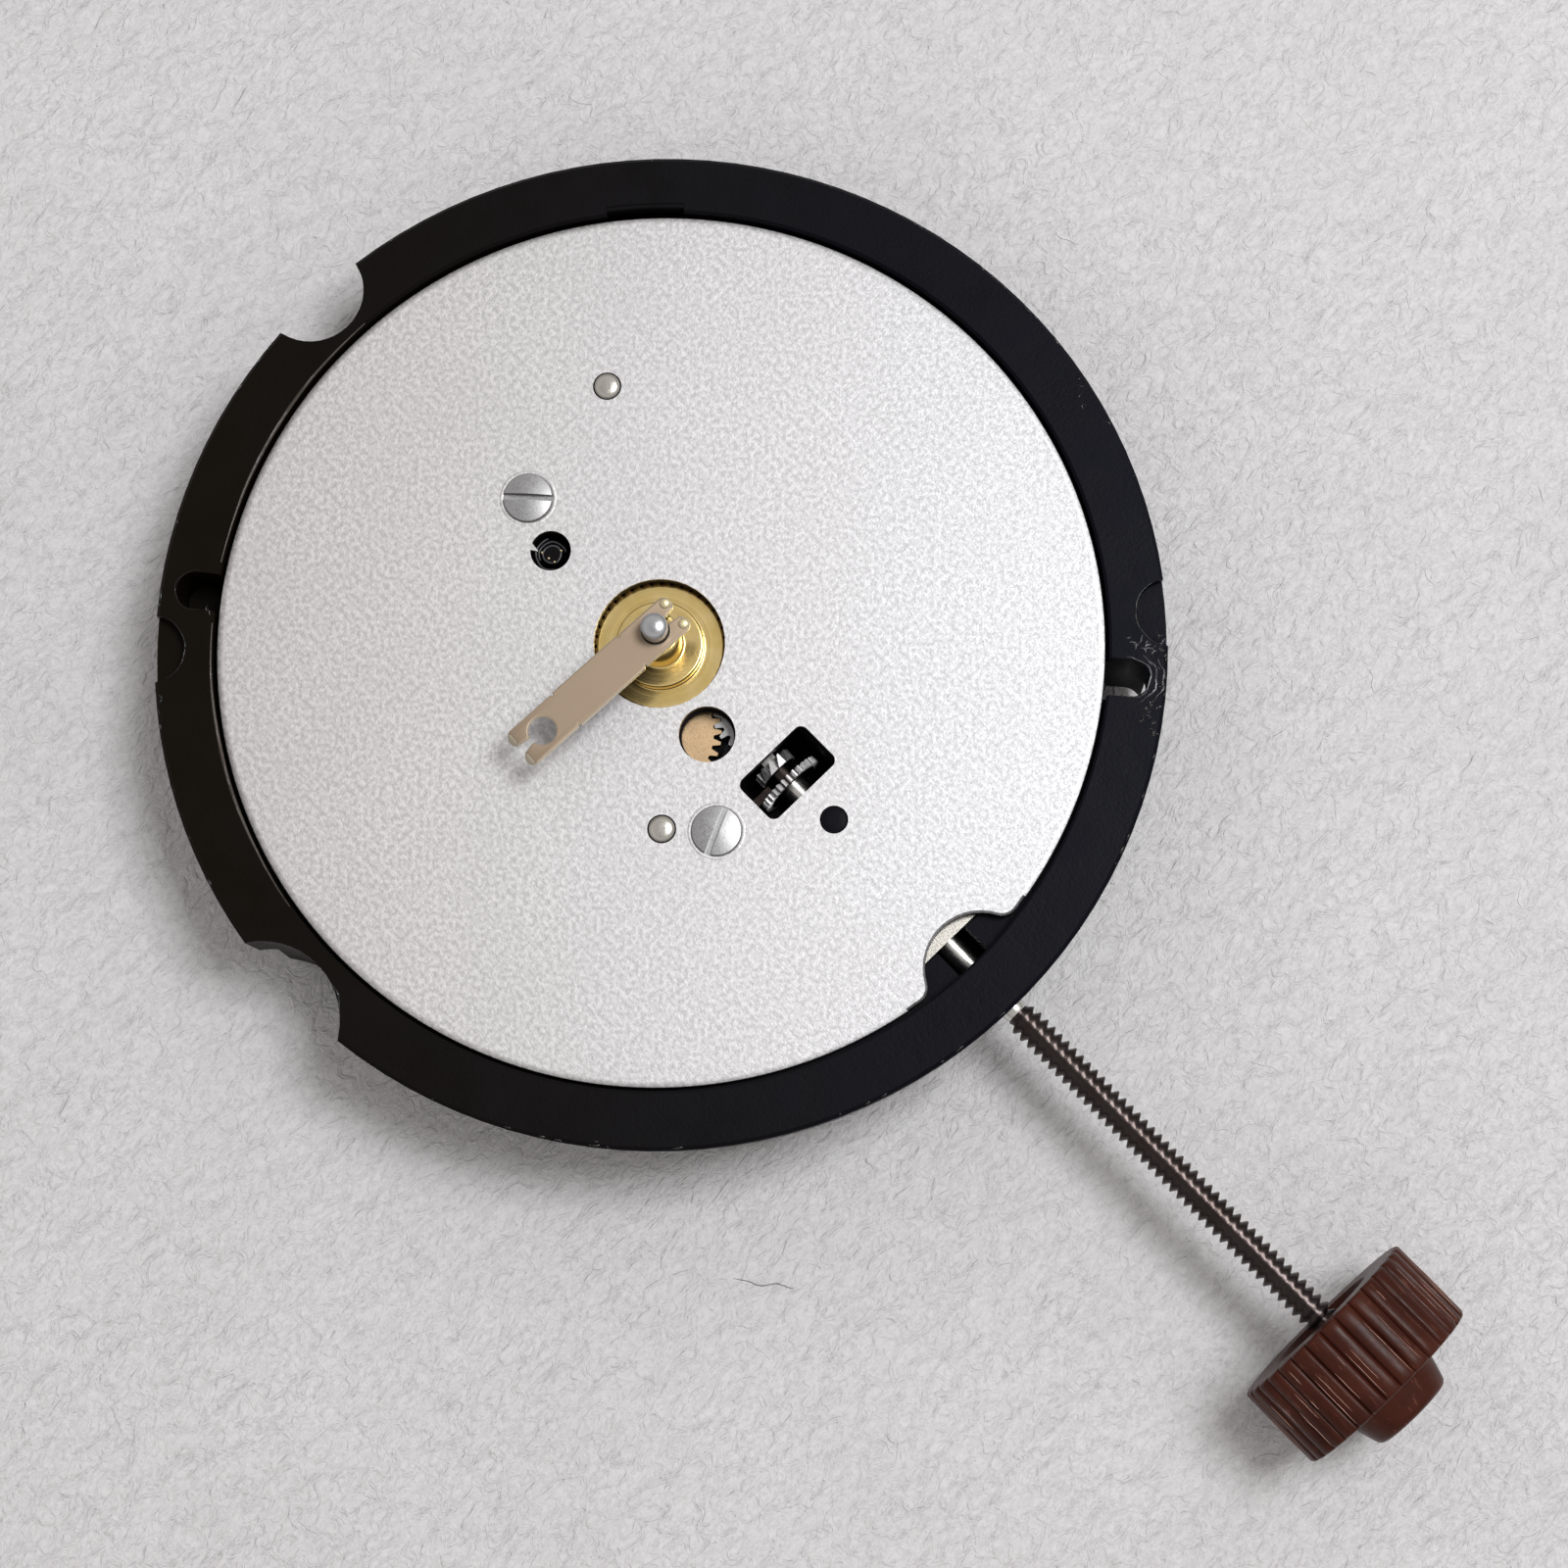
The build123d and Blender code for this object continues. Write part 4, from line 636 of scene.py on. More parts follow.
def half_head(bm, place, slot_angle, face, up, radius, height):
    """The domed top of one half of a slotted screw head."""
    dome = HEAD_DOME * height
    edge = HEAD_EDGE * height
    gap = SLOT_HALF
    start = asin(gap / radius)
    turn = Matrix.Rotation(radians(slot_angle), 2)
    rows = []
    for share in (1, 0.96, 0.85, 0.6, 0.3, 0.02):
        row = []
        for number in range(25):
            sweep = start + (pi - 2 * start) * number / 24
            across = share * radius * cos(sweep)
            flat = Vector((across, gap + share * (radius * sin(sweep) - gap)))
            fall = dome * flat.length_squared / radius**2 + (edge if share == 1 else 0)
            x, y = turn @ flat
            row.append((place[0] + x, place[1] + y, face - up * fall))
        rows.append(row)
    grid(bm, rows, closed=False)


def slotted_screws(name, screws, face, up, radius, height, shank, tip, replaced):
    """Screws with real slots: two domed half heads over a disc and a shank."""
    bottom = face - up * SLOT_DEPTH * height
    bm = bmesh.new()
    for place, angle in screws:
        half_head(bm, place, angle, face, up, radius, height)
        half_head(bm, place, angle + 180, face, up, radius, height)
    # The slot walls take dark steel: painted shade in the slots.
    rims = [edge for edge in bm.edges if edge.is_boundary]
    for part in bmesh.ops.extrude_edge_only(bm, edges=rims)["geom"]:
        if isinstance(part, bmesh.types.BMVert):
            part.co.z = bottom
        elif isinstance(part, bmesh.types.BMFace):
            part.material_index = 1
    under = face - up * height
    for place, angle in screws:
        rows = [(shank, tip), (shank, under), (radius, under), (radius, bottom), (radius * 0.5, bottom)]
        lathe(bm, rows, (place[0], place[1], 0), 48)
    bm_piece(name, bm, "steel dark_steel", "steel", replaced)


def make_pins():
    """Locating pins with domed tops."""
    radius = 0.35
    top = 0.1
    dome = 0.15
    profile = [(radius, -2.9), (radius, top - dome), (radius * 0.97, top - dome * 0.5)]
    profile += [(radius * 0.86, top - dome * 0.22), (radius * 0.6, top - dome * 0.05), (radius * 0.2, top)]
    bm = bmesh.new()
    for place in PIN_PLACES:
        lathe(bm, profile, (*place, 0), 40)
    bm_piece("domed_pins", bm, "nickel", "nickel", "locating_pins", 40)


MINUTE_WHEEL_ANGLE = -48.5


def make_post():
    """Cannon pinion's post with a polished dome, over its leaves."""
    bm = bmesh.new()
    profile = [(0.35, -1.02), (0.35, 0.7), (0.31, 1.15), (0.35, 1.6), (0.35, 2.02), (0.347, 2.05)]
    for number in range(1, 9):
        angle = pi / 2 * number / 8.5
        profile.append((0.347 * cos(angle), 2.05 + 0.147 * sin(angle)))
    lathe(bm, profile, segments=64)
    teeth = 12
    leaf = []
    for number in range(teeth):
        middle = MINUTE_WHEEL_ANGLE + number * 360 / teeth
        for radius, turn in ((0.45, -10), (0.65, -4), (0.65, 4), (0.45, 10)):
            leaf.append(polar(radius, middle + turn))
    block(bm, [[(x, y, z) for x, y in leaf] for z in (-1.0, -0.72)])
    bm_piece("domed_post", bm, "post_steel", "steel", "cannon_pinion", 35, "minute_body")


HOUR_TEETH = 40
HOUR_PHASE = 4.5
TOOTH_OUT = 0.0855
TOOTH_IN = -0.1125


def make_hour_wheel():
    """Turned brass wheel: toothed rim darkened by painted shade, flat ring, wide rounded boss and the pipe.
    """
    under = [(0.38, -0.65), (1.66, -0.65)]
    rim = [(1.66, -0.65), (1.8, -0.65), (1.8, -0.46), (1.78, -0.45), (1.64, -0.445)]
    shares = (0, 1, 1, 0.9, 0)
    top = [(1.64, -0.445), (1.6, -0.445), (1.2, -0.445), (1.18, -0.445), (1.162, -0.43), (1.157, -0.38)]
    top += [(1.155, -0.2), (1.15, -0.15), (1.135, -0.115), (1.115, -0.101), (1.09, -0.1), (1.06, -0.1)]
    top += [(0.68, -0.1), (0.66, -0.1), (0.63, -0.085), (0.6, -0.03), (0.6, 1.15), (0.58, 1.185)]
    top += [(0.55, 1.2), (0.42, 1.2), (0.39, 1.18), (0.38, 1.14), (0.38, -0.65)]

    def tooth(angle, row):
        place = ((angle - radians(HOUR_PHASE)) * HOUR_TEETH / FULL) % 1
        near = min(place, 1 - place)
        if near < 0.13:
            level = TOOTH_OUT
        elif near > 0.34:
            level = TOOTH_IN
        else:
            level = TOOTH_OUT - (near - 0.13) / 0.21 * 0.198
        return level * shares[row]

    bm = bmesh.new()
    for outline, slot, ribs in ((under, 0, None), (rim, 1, tooth), (top, 0, None)):
        lathe(bm, outline, segments=HOUR_TEETH * 10, ribs=ribs, slot=slot, ends=False)
    bm_piece("turned_hour_wheel", bm, "brass aged_brass", "brass", "hour_wheel", 40, "hour_body")


CLIP_ANGLE = -92
CLIP_SPACING = 3.9
CLIP_HALF = 0.575
CLIP_LOW = 1.36
CLIP_HIGH = 1.56
CLIP_BEVEL = 0.035
FLAT_MARGIN = 0.008
FORK_SLIT = 0.09
FORK_HOLE = 0.37
PRONG_AT = 0.6
PRONG_OFFSET = 0.335
PRONG_RADIUS = 0.225


def fork_points(hole_x, way):
    """A fork's outline, from the nick at one root round prongs and hole to the other nick."""
    edge = CLIP_HALF - 0.015
    side = [(hole_x - way * 0.86, CLIP_HALF), (hole_x - way * 0.8, CLIP_HALF - 0.07)]
    side.append((hole_x - way * 0.77, edge))
    for number in range(13):
        angle = radians(90 - number * 12.5)
        x = hole_x + way * (PRONG_AT + PRONG_RADIUS * cos(angle))
        side.append((x, PRONG_OFFSET + PRONG_RADIUS * sin(angle)))
    reach = degrees(asin(FORK_SLIT / FORK_HOLE))
    side.append((hole_x + way * 0.46, FORK_SLIT + 0.005))
    lower = [(x, -y) for x, y in reversed(side)]
    around = []
    for number in range(33):
        angle = radians(reach + (360 - 2 * reach) * number / 32)
        around.append((hole_x + way * FORK_HOLE * cos(angle), FORK_HOLE * sin(angle)))
    return side + around + lower


TIP_BEND_START = 0.64
TIP_BEND_DROP = 0.16
TIP_BEND_LENGTH = 0.185
BEND_STEP = 0.035
FORK_TIP_AT = (-0.66, 0.365)


def tip_drop(x):
    """How far the strip bends down at x, which it does only at the tips of its prongs."""
    beyond = max(-x, x - CLIP_SPACING) - TIP_BEND_START
    return TIP_BEND_DROP * (max(0, beyond) / TIP_BEND_LENGTH) ** 2


def make_clip():
    """Sprung strip, forked at each end: painted shade below, painted highlights on its stamped edges and on
    two pale tips.
    """
    outline = fork_points(CLIP_SPACING, 1) + fork_points(0, -1)[::-1]
    turn = Matrix.Rotation(radians(CLIP_ANGLE), 4, "Z")

    def bend(bm):
        flats = [face for face in bm.faces if abs(face.normal.z) > 0.99]
        margins = {"thickness": FLAT_MARGIN, "use_boundary": True, "use_even_offset": True}
        bmesh.ops.inset_region(bm, faces=flats, **margins)
        for step in range(6):
            reach = TIP_BEND_START + BEND_STEP * step
            for x in (-reach, CLIP_SPACING + reach):
                parts = bm.verts[:] + bm.edges[:] + bm.faces[:]
                bmesh.ops.bisect_plane(bm, geom=parts, plane_co=(x, 0, 0), plane_no=(1, 0, 0))
        for vert in bm.verts:
            vert.co.z -= tip_drop(vert.co.x)
        bmesh.ops.transform(bm, matrix=turn, verts=bm.verts)
        bm.normal_update()
        # Painted light: the underside takes the shaded clip metal, and the sides and bevels take the lit one.
        for face in bm.faces:
            if face.normal.z < -0.7:
                face.material_index = 1
            elif face.normal.z < 0.9:
                face.material_index = 2

    metals = "clip_metal clip_under clip_edge"
    settings = {"slot": "clip_metal", "replaced": "keeper_clip", "angle": 20, "body": "clip_body"}
    plate("sprung_clip", outline, CLIP_LOW, CLIP_HIGH, CLIP_BEVEL, metals, bend, **settings)
    # Domed tips in a pale metal that paints their highlight.
    bm = bmesh.new()
    dome = [(0.165, 1.46), (0.16, 1.53), (0.142, 1.57), (0.105, 1.6), (0.055, 1.616), (0.01, 1.62)]
    for side in (1, -1):
        tip = turn @ Vector((FORK_TIP_AT[0], side * FORK_TIP_AT[1], 0))
        lathe(bm, dome, (tip.x, tip.y, 0), 32)
    bm_piece("clip_tips", bm, "highlight_metal", "clip_metal", body="clip_body")


RATCHET_TEETH = 12
RATCHET_ROOT = 4.44
RATCHET_POINT = 4.135
FINE_TEETH = 30
FINE_WIDTH = (4.78, 4.98)


def around_stem(corners, radius):
    """Points at a radius from the stem's axis, from (angle, x) pairs."""
    return [(x, radius * cos(angle), STEM_Z + radius * sin(angle)) for angle, x in corners]


def make_sliding_pinion():
    """Ratchet teeth that point at the hand axis, a groove for the yoke and a fine wheel."""
    bm = bmesh.new()
    profile = [(0.26, 4.4), (0.5, 4.4), (0.52, 4.42), (0.52, 4.45), (0.4, 4.47), (0.4, 4.74), (0.74, 4.76)]
    profile += [(0.76, 4.78), (0.76, 4.98), (0.74, 5.0), (0.26, 5.0)]
    # The body in dark steel paints its shade, against teeth in very pale steel that paint their highlights.
    lathe(bm, profile, (0, 0, STEM_Z), 64, ALONG_X, slot=1)
    for number in range(RATCHET_TEETH):
        start = FULL * number / RATCHET_TEETH
        corners = [(start, RATCHET_ROOT), (start + 0.46, RATCHET_ROOT)]
        corners += [(start + 0.1, RATCHET_POINT), (start + 0.02, RATCHET_POINT)]
        block(bm, [around_stem(corners, radius) for radius in (0.34, 0.575)])
    low, high = FINE_WIDTH
    for number in range(FINE_TEETH):
        middle = FULL * (number + 0.5) / FINE_TEETH
        rows = []
        for radius, half in ((0.74, 0.07), (0.9, 0.045), (0.945, 0.018)):
            first, last = middle - half, middle + half
            rows.append(around_stem([(first, low), (last, low), (last, high), (first, high)], radius))
        made = grid(bm, rows)
        cap(bm, made[-1])
    bm_piece("toothed_pinion", bm, "pinion_steel dark_steel", "steel", "sliding_pinion", 30, "pinion_body")


# Marks that the mould and the tools left on the flange

MARK_LIMIT = 13.24
LIP_RADIUS = 11.81
RECESS_CENTRE = 13.4
RECESS_RADIUS = 0.92
SCAR_RADIUS = 13.235


def bead(bm, points, thickness, height=FLANGE_TOP):
    """A raised line on the flange that thins out at both ends."""
    count = len(points)
    radii = [thickness * (0.3 + 0.7 * sin(pi * number / (count - 1))) for number in range(count)]
    line = []
    for x, y in points:
        inward = min(1, MARK_LIMIT / hypot(x, y))
        line.append((x * inward, y * inward, height + chance.uniform(-0.004, 0.004)))
    tube(bm, line, radii, 6)


def wavy_arc(centre, radius, start, end, wave, count=30):
    """Points on an arc whose radius wavers by about wave."""
    points = []
    phase = chance.uniform(0, FULL)
    for number in range(count + 1):
        angle = start + (end - start) * number / count
        reach = radius + wave * sin(phase + 0.55 * number) + chance.uniform(-0.3, 0.3) * wave
        x, y = polar(reach, angle)
        points.append((centre[0] + x, centre[1] + y))
    return points


def squiggle(place, length, count=6):
    """A short ragged line, as a torn burr."""
    points = [place]
    heading = chance.uniform(0, FULL)
    for number in range(count):
        heading += chance.uniform(-0.9, 0.9)
        last = points[-1]
        step = length / count
        points.append((last[0] + step * cos(heading), last[1] + step * sin(heading)))
    return points


def ragged_bits(bm, count, radii, angles, lengths, thickness):
    """Torn bits in a patch of the flange; lengths is one number or a low and a high one."""
    for number in range(count):
        place = polar(chance.uniform(*radii), chance.uniform(*angles))
        length = chance.uniform(*lengths) if isinstance(lengths, tuple) else lengths
        bead(bm, squiggle(place, length), thickness)


def make_lip_line():
    """The moulded lip's painted highlight: a pale bead round the left of the plate only, where the light
    catches the lip, broken at the blind slot.
    """
    bm = bmesh.new()
    for start, end in ((178, 215), (223, 262)):
        bead(bm, wavy_arc((0, 0), LIP_RADIUS, start, end, 0.006), 0.05, FLANGE_TOP - 0.035)
    bm_piece("lip_line", bm, "lip_highlight_black", "black_plastic", angle=60)


def make_slot_burrs():
    """Loops and torn bits round the through slot."""
    bm = bmesh.new()
    slot_at = polar(FOOT_SLOT_RADIUS, RIGHT_SLOT_ANGLE)
    for reach, thickness, sweep in ((0.53, 0.03, 104), (0.68, 0.04, 66), (0.86, 0.03, 40)):
        loop = wavy_arc(slot_at, reach, RIGHT_SLOT_ANGLE - sweep, RIGHT_SLOT_ANGLE + sweep, 0.025)
        bead(bm, loop, thickness)
    ragged_bits(bm, 13, (12.3, 13.15), (43.6, 46.6), (0.12, 0.3), 0.024)
    # The loops and bits are in a lighter black: partly scuffing, partly a painted highlight.
    bm_piece("slot_burrs", bm, "scuffs_and_highlight_black", "black_plastic", angle=60)


def make_edge_scars(bm):
    """Scars of uneven length round the flange's edge, clear of its notches and recesses."""
    for number in range(90):
        start = chance.uniform(0, 360)
        near_notch = abs(start - 180) < 8 or abs(start - 270) < 10
        near_recess = any(abs(start - angle) < 5 for angle in RECESS_ANGLES)
        if not near_notch and not near_recess:
            length = chance.uniform(0.25, 1.3)
            height = FLANGE_TOP - chance.uniform(0.02, 0.09)
            scar = wavy_arc((0, 0), SCAR_RADIUS, start, start + length, 0.012, 5)
            bead(bm, scar, chance.uniform(0.02, 0.045), height)


def make_flange_marks():
    """Glossy rims of the slot and the recesses, and the nicks and scars of handling."""
    bm = bmesh.new()
    slot_at = polar(FOOT_SLOT_RADIUS, LEFT_SLOT_ANGLE)
    bead(bm, wavy_arc(slot_at, 0.53, LEFT_SLOT_ANGLE - 100, LEFT_SLOT_ANGLE + 110, 0.012), 0.014)
    for angle, thickness in zip(RECESS_ANGLES, (0.02, 0.018)):
        recess = polar(RECESS_CENTRE, angle)
        bead(bm, wavy_arc(recess, RECESS_RADIUS, angle + 118, angle + 242, 0.008), thickness)
    bead(bm, wavy_arc((0, -14.3), 2.13, 53, 74, 0.03, 12), 0.035)
    ragged_bits(bm, 26, (12.75, 13.2), (34.5, 38.3), 0.16, 0.022)
    ragged_bits(bm, 14, (12.7, 13.2), (43.5, 47), 0.2, 0.018)
    for angle in (39.5, 40.2, 40.8, 41.3, 42.2, 77.2, 78.3, -51.4, -51.0, -127.9, -128.3):
        bead(bm, squiggle(polar(chance.uniform(13.1, 13.22), angle), 0.14, 4), 0.035)
    nicks = ((12.94, 77.8), (12.8, 76.4), (12.9, 75.2), (13.1, 72.5), (11.94, 220.8), (11.98, 221.2))
    for radius, angle in nicks:
        bead(bm, squiggle(polar(radius, angle), 0.22, 5), 0.022)
    make_edge_scars(bm)
    bm_piece("flange_marks", bm, "glossy_black", "black_plastic", angle=60)


def make_small_mouldings():
    """The pip in its hole, the boss in the hole beside the upper screw, and that hole's spur."""
    bm = bmesh.new()
    pip = [(0.31, -0.2), (0.31, -0.045), (0.3, -0.03), (0.27, -0.022), (0.1, -0.02)]
    lathe(bm, pip, (*PIP_AT, 0), 40)
    bm_piece("round_pip", bm, "black_plastic", "black_plastic")
    # The boss's rings are in a lighter black that paints a highlight on them.
    bm = bmesh.new()
    for radius, height, start, end in ((0.43, -0.42, 150, 330), (0.36, -0.5, 60, 250), (0.24, -0.42, 0, 360)):
        points = [(x, y, height) for x, y in wavy_arc(BOSS_AT, radius, start, end, 0.008)]
        tube(bm, points, 0.03, 8)
    bm_piece("boss_rings", bm, "scuffs_and_highlight_black", "black_plastic", angle=60)
    # Bright metal specks that paint the highlights in the boss's dimples.
    bm = bmesh.new()
    grain = [(0.04, -0.5), (0.04, -0.38), (0.028, -0.36), (0.01, -0.35)]
    for shift_x, shift_y in ((-0.22, -0.16), (0.02, -0.14), (0.1, 0.24), (0.2, -0.1)):
        lathe(bm, grain, (BOSS_AT[0] + shift_x, BOSS_AT[1] + shift_y, 0), 12)
    bm_piece("boss_specks", bm, "highlight_metal", "steel")
    spur = [(-4.24, -0.7), (-4.03, -0.56), (-4.33, -0.52)]
    plate("plate_spur", spur, -0.1, -0.012, 0.01, "silver_plate", slot="silver_plate", angle=50)


def arc_bar(bm, profile, start, end, count):
    """A bar with a section of (radius, height) points along an arc about the hand axis."""
    rows = []
    for number in range(count + 1):
        angle = start + (end - start) * number / count
        rows.append([(*polar(radius, angle), z) for radius, z in profile])
    block(bm, rows)


def make_plate_trim():
    """The plate's rolled edge, and the pressed rims round its screws."""
    bm = bmesh.new()
    edge = [(11.5, -0.1), (11.5, 0.004), (11.652, 0.004), (11.664, -0.006), (11.664, -0.1)]
    arc_bar(bm, edge, 10.5, 349.5, 340)
    rim = [(0.663, -0.06), (0.663, 0.002), (0.672, 0.006), (0.745, 0.006), (0.757, 0.001)]
    rim += [(0.757, -0.06), (0.663, -0.06)]
    for place, angle in DIAL_SCREWS:
        lathe(bm, rim, (place[0], place[1], 0), 64, ends=False)
    bm_piece("plate_trim", bm, "silver_plate", "silver_plate")


def make_black_fillings():
    """The ledge in the edge pocket, the blind slot's web, and a black wall round the minute wheel's hole that
    paints the shade under the plate there.
    """
    bm = bmesh.new()
    ledge = [(11.9, -0.32), (11.9, 0.14), (11.92, 0.165), (12.03, 0.165), (12.03, -0.32)]
    arc_bar(bm, ledge, 132.8, 143.2, 16)
    web = [(0.495, -1.5), (0.495, -1.36), (0.46, -1.32), (0.2, -1.31)]
    lathe(bm, web, (*polar(FOOT_SLOT_RADIUS, LEFT_SLOT_ANGLE), 0), 40)
    # A black collar where the hole shows only shade: painted shade under the plate's edge.
    wall = [(0.69, -0.62), (0.69, -0.41), (0.7, -0.398), (0.83, -0.398), (0.83, -0.62), (0.69, -0.62)]
    lathe(bm, wall, (*MINUTE_WHEEL_HOLE, 0), 56, ends=False)
    bm_piece("black_fillings", bm, "black_plastic", "black_plastic")


# Pieces of the back

COIL_HALF = 4.0
COIL_MARGIN = 0.01
WIRE_RADIUS = 0.83
WIRE_PITCH = 0.08
RIPPLE = (0, 0.011, 0.015, 0.011)


def make_winding():
    """Copper wire wound on the bobbin: a rippled barrel whose turns follow a helix."""
    middle_z = (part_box("coil_winding")[0][2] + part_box("coil_winding")[1][2]) / 2 / MM
    count = int((2 * COIL_HALF - 0.1) / WIRE_PITCH) * len(RIPPLE)
    rows = []
    for number in range(count + 1):
        row = []
        reach = WIRE_RADIUS + RIPPLE[number % len(RIPPLE)] + 0.004 * sin(0.037 * number)
        for side in range(28):
            angle = FULL * side / 28
            along = -COIL_HALF + (number / len(RIPPLE) + side / 28) * WIRE_PITCH
            along = min(max(along, -COIL_HALF + COIL_MARGIN), COIL_HALF - COIL_MARGIN)
            row.append((along, COIL_Y + reach * cos(angle), middle_z + reach * sin(angle)))
        rows.append(row)
    bm = bmesh.new()
    block(bm, rows)
    bm_piece("wound_wire", bm, "copper_wire", "copper_wire", "coil_winding", 60)


def make_battery_can():
    """Button cell: rounded can with a pressed ring, and the cap towards the dial."""
    profile = [(0.02, -3.05), (3.8, -3.05), (3.86, -3.056), (3.94, -3.069), (4.42, -3.07), (4.55, -3.063)]
    profile += [(4.66, -3.03), (4.72, -2.97), (4.75, -2.88), (4.75, -1.8), (4.72, -1.7), (4.64, -1.63)]
    profile += [(4.5, -1.62), (3.62, -1.62), (3.56, -1.66), (3.44, -1.66), (3.4, -1.6), (3.4, -1.54)]
    profile += [(3.36, -1.49), (3.3, -1.47), (0.02, -1.47)]
    bm = bmesh.new()
    lathe(bm, profile, (*BATTERY_AT, 0), 160)
    bm_piece("button_cell", bm, "battery_steel", "steel", "battery", 35)


CRYSTAL_MIDDLE = (10.0, -62.7)
CRYSTAL_ANGLE = -22


def make_crystal_can():
    """Drawn can with a rolled groove, a rounded end and a dark glass nose."""
    low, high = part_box("quartz_crystal")
    level = (low[2] + high[2]) / 2 / MM
    place = (*polar(*CRYSTAL_MIDDLE), level)
    turn = Matrix.Rotation(radians(CRYSTAL_ANGLE), 3, "Z") @ ALONG_X
    nose = [(0.04, -2.85), (0.4, -2.85), (0.47, -2.8), (0.5, -2.7), (0.5, -2.46)]
    can = [(0.45, -2.46), (0.7, -2.49), (0.745, -2.45), (0.75, -2.38), (0.75, -2.12), (0.73, -2.08)]
    can += [(0.73, -2.02), (0.75, -1.98), (0.75, 2.2), (0.735, 2.33), (0.68, 2.43), (0.58, 2.49)]
    can += [(0.45, 2.5), (0.04, 2.5)]
    bm = bmesh.new()
    lathe(bm, nose, place, 48, turn, slot=1)
    lathe(bm, can, place, 64, turn)
    bm_piece("crystal_can", bm, "can_steel glossy_black", "nickel", "quartz_crystal", 35)


def lip(bm, outline, radius=0.05, closed=True):
    """A rolled lip on the cover along an outline."""
    tube(bm, [(x, y, COVER_UNDER) for x, y in outline], radius, 8, closed=closed)


PRESSED_WIDTH = 0.34
PRESSED_RIBS = (((6.6, -1.2), 70, 5.6), ((0.6, 5.2), 4, 6.4))
COIL_WINDOW = (4.42, 1.12)
WINDOW_CORNER = 0.12


def pressed_rib(bm, place, angle, length):
    """A stiffening rib pressed out of the cover, domed and with round ends."""
    turn = Matrix.Rotation(radians(angle), 2)
    rows = []
    for share, height in ((1, 0), (0.85, 0.03), (0.6, 0.075), (0.3, 0.1), (0.04, 0.11)):
        row = []
        for side in (1, -1):
            for number in range(13):
                sweep = radians(-90 + 15 * number) * side
                reach = PRESSED_WIDTH * share
                along = side * (length / 2) + reach * cos(sweep) * side
                x, y = turn @ Vector((along, reach * sin(sweep)))
                row.append((place[0] + x, place[1] + y, COVER_UNDER - height))
        rows.append(row)
    block(bm, rows)


def make_cover_pressings():
    """Rolled lips round the cover's openings and edge, and two pressed ribs."""
    bm = bmesh.new()
    edge = COVER_RADIUS - 0.06
    lip(bm, arc((0, 0), edge, 309.7, 585, 200), 0.055, False)
    lip(bm, arc((0, 0), edge, 245, 298, 50), 0.055, False)
    for place, angle in BRIDGE_SCREWS:
        lip(bm, arc(place, 0.76, 0, 360, 48)[:-1], 0.045)
    for x in (-COIL_SCREW_X, COIL_SCREW_X):
        lip(bm, arc((x, COIL_Y), 0.7, 0, 360, 48)[:-1], 0.045)
    half_x, half_y = COIL_WINDOW
    corners = ((half_x, half_y, 0), (-half_x, half_y, 90), (-half_x, -half_y, 180), (half_x, -half_y, 270))
    window = []
    for x, y, start in corners:
        inward_x = x - copysign(WINDOW_CORNER, x)
        inward_y = y - copysign(WINDOW_CORNER, y)
        window += arc((inward_x, COIL_Y + inward_y), WINDOW_CORNER, start, start + 90, 5)
    lip(bm, window)
    for place, angle, length in PRESSED_RIBS:
        pressed_rib(bm, place, angle, length)
    bm_piece("cover_pressings", bm, "cover_steel", "steel", angle=60)


CLAMP_ANGLE = 145
CLAMP_REACH = 0.8


def make_back_details():
    """Solder under the cover's inspection hole, and the clamp's raised rings."""
    bm = bmesh.new()
    pad = [(0.4, -3.0), (0.4, -3.085), (0.34, -3.12), (0.22, -3.15), (0.08, -3.16), (0.02, -3.16)]
    lathe(bm, pad, (COIL_SCREW_X, COIL_Y, 0), 32)
    bm_piece("solder_pad", bm, "solder", "steel")
    x, y = polar(CLAMP_REACH, CLAMP_ANGLE)
    clamp_end = (BATTERY_AT[0] + x, BATTERY_AT[1] + y)
    bm = bmesh.new()
    lip(bm, arc(clamp_end, 1.38, CLAMP_ANGLE - 125, CLAMP_ANGLE + 125, 60), 0.04, False)
    lip(bm, arc(clamp_end, 0.5, 0, 360, 48)[:-1], 0.035)
    bm_piece("clamp_pressings", bm, "cover_steel", "steel", angle=60)


make_stem()
make_crown()
make_crest_lines()
make_pins()
slotted_screws("dial_screws", DIAL_SCREWS, 0.15, 1, 0.66, 0.33, 0.4, -1.25, "dial_plate_screws")
make_plate_trim()
make_post()
make_hour_wheel()
make_clip()
make_sliding_pinion()
make_lip_line()
make_slot_burrs()
make_flange_marks()
make_small_mouldings()
make_black_fillings()
make_winding()
make_battery_can()
make_crystal_can()
make_cover_pressings()
make_back_details()
rim_screws = [(polar(10.3, 164), 70), (polar(10.75, 26), 160), (polar(10.75, -40), 15)]
cover_screws = [*rim_screws, ((-8.6965, -2.395), 120)]
slotted_screws("back_screws", cover_screws, -3.36, -1, 0.745, 0.14, 0.34, -1.95, "cover_screws")
slotted_screws("train_screws", BRIDGE_SCREWS, -3.15, -1, 0.645, 0.2, 0.29, -1.85, "bridge_screws")


# Floor, light and camera

FLOOR_TILT = -0.02135
FLOOR_TOUCH_X = -12.7
FLOOR_REACH = 600
FLOOR_STEPS = 24
FIBRE_COUNT = 150


def floor_level(x):
    """The floor's height at x: the back of the casing and the crown both touch it."""
    return CASE_BACK + FLOOR_TILT * (x - FLOOR_TOUCH_X)


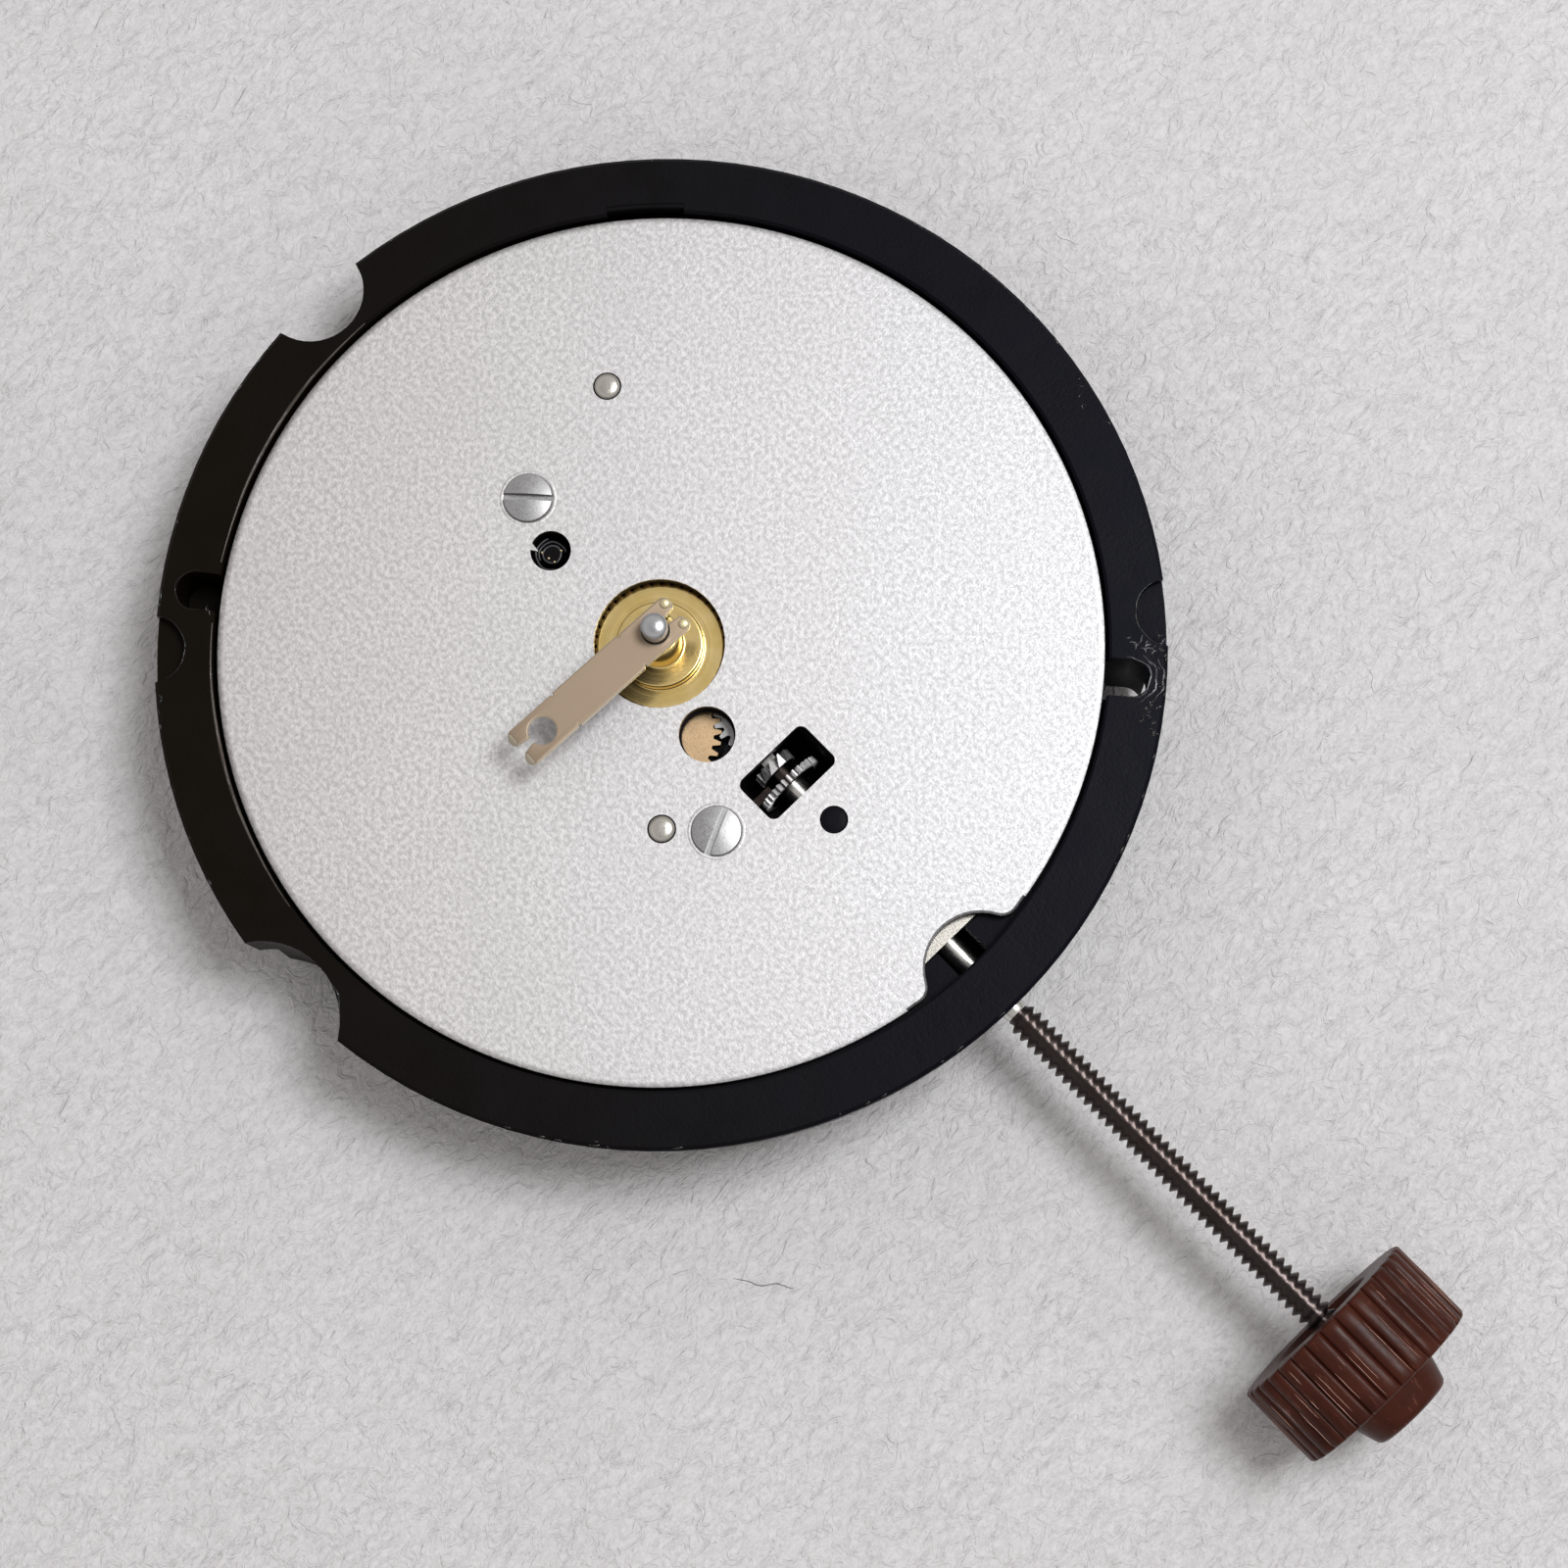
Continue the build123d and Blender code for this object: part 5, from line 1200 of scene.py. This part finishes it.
def strand(bm, place, heading, length, radius, bend, dice, slot=0):
    """A curved fibre lying on the floor."""
    x, y = place
    taper = (0.3, 0.8, 1, 1, 1, 1, 1, 0.8, 0.3)
    points = []
    for number in range(len(taper)):
        points.append((x, y, floor_level(x) + radius))
        heading += dice.uniform(-bend, bend)
        x += length / 8 * cos(heading)
        y += length / 8 * sin(heading)
    tube(bm, points, [radius * share for share in taper], 5, slot)


def make_fibres():
    """Loose paper fibres, and one dark hair in two strands."""
    dice = random.Random(7)
    new_surface("paper_fibre", (0.76, 0.745, 0.745), 0, 0.7, Specular_IOR_Level=0.1)
    new_surface("dark_hair", (0.17, 0.16, 0.155), 0, 0.5)
    bm = bmesh.new()
    for number in range(FIBRE_COUNT):
        place = (dice.uniform(-16, 30), dice.uniform(-24, 24))
        heading = dice.uniform(0, FULL)
        length = dice.uniform(0.3, 0.9)
        strand(bm, place, heading, length, dice.uniform(0.009, 0.016), 0.5, dice)
    strand(bm, (13.0, -10.1), radians(40), 1.3, 0.012, 0.5, dice, 1)
    strand(bm, (13.9, -9.4), radians(70), 0.5, 0.012, 0.7, dice, 1)
    fibres = mesh_object("floor_fibres", bm, "paper_fibre dark_hair")
    fibres.data.shade_smooth()


def make_floor():
    """Plain matte board under the movement, tilted as the movement leans on its crown."""
    tree, shader = new_surface("floor_board", (0.66, 0.65, 0.652), 0, 0.85, Specular_IOR_Level=0.1)
    along = coordinates(tree, (1, 0.62, 1), turn=radians(-SIDEWAYS_ANGLE))
    clouds = mottle(tree, coordinates(tree), 5.0, 4.0, 0.55)
    wrinkle = mottle(tree, along, 0.42, 3.0, 0.6)
    wrinkle.node.inputs["Distortion"].default_value = 1.6
    fibre = mottle(tree, along, 0.13, 2.0, 0.6)
    fibre.node.inputs["Distortion"].default_value = 0.8
    cloudy = spread(tree, clouds, 0, 1, 0.3, 0.7)
    tone = mix(tree, cloudy, (0.676, 0.67, 0.674), (0.715, 0.712, 0.717))
    flecks = spread(tree, fibre, 0, 1, 0.32, 0.62)
    tree.links.new(mix(tree, flecks, (0.602, 0.596, 0.599), tone), shader.inputs["Base Color"])
    relief = bump(tree, shader, wrinkle, 0.15)
    bump(tree, shader, fibre, 0.016, relief)
    bm = bmesh.new()
    steps = [FLOOR_REACH * (2 * number / FLOOR_STEPS - 1) for number in range(FLOOR_STEPS + 1)]
    rows = [[(x, y, floor_level(x)) for x in steps] for y in steps]
    grid(bm, rows, closed=False)
    mesh_object("floor", bm, "floor_board")


def aim(thing, place, target, up):
    """Puts a lamp or a camera at a place, looking at a target."""
    back = (Vector(place) - Vector(target)).normalized()
    right = Vector(up).cross(back).normalized()
    over = back.cross(right)
    turn = Matrix((right, over, back)).transposed().to_4x4()
    thing.matrix_world = Matrix.Translation(Vector(place) * MM) @ turn


LAMP_AT = (40, 84, 205)
LAMP_TARGET = (5, 0, 0)
LAMP_SIZE = 80
LAMP_POWER = 0.33


def make_lights():
    """One large window lamp, and a soft room that is darkest below."""
    data = bpy.data.lights.new("window", "AREA")
    data.shape = "RECTANGLE"
    data.size = data.size_y = LAMP_SIZE * MM
    data.energy = LAMP_POWER
    data.color = (0.99, 0.992, 1)
    aim(placed("window", data), LAMP_AT, LAMP_TARGET, (0, 0, 1))
    world = bpy.data.worlds.new("soft_room")
    bpy.context.scene.world = world
    world.use_nodes = True
    tree = world.node_tree
    background = tree.nodes["Background"]
    background.inputs["Strength"].default_value = 1
    height = axes_of(tree, add(tree, "ShaderNodeTexCoord").outputs["Generated"])["Z"]
    ramp = add(tree, "ShaderNodeValToRGB", {"Fac": height})
    tree.links.new(ramp.outputs["Color"], background.inputs["Color"])
    stops = [(0, 0.2), (0.45, 0.5), (0.8, 0.58), (0.98, 0.42)]
    while len(ramp.color_ramp.elements) < len(stops):
        ramp.color_ramp.elements.new(0.5)
    for element, (position, level) in zip(ramp.color_ramp.elements, stops):
        element.position = position
        element.color = (level, 0.962 * level, 0.945 * level, 1)


CAMERA_AT = (18.6895, -9.3654, 90)
CAMERA_TARGET = (4.98668, -0.27391, 0)
IMAGE_UP = (-0.718, 0.696, 0)
LENS = 80.743


def make_camera():
    data = bpy.data.cameras.new("camera")
    data.sensor_width = 36
    data.lens = LENS
    data.clip_start = 0.001
    data.clip_end = 10
    camera = placed("camera", data)
    aim(camera, CAMERA_AT, CAMERA_TARGET, IMAGE_UP)
    bpy.context.scene.camera = camera


make_floor()
make_fibres()
make_lights()
make_camera()
bpy.context.scene.view_settings.view_transform = "Standard"

bpy.context.view_layer.update()
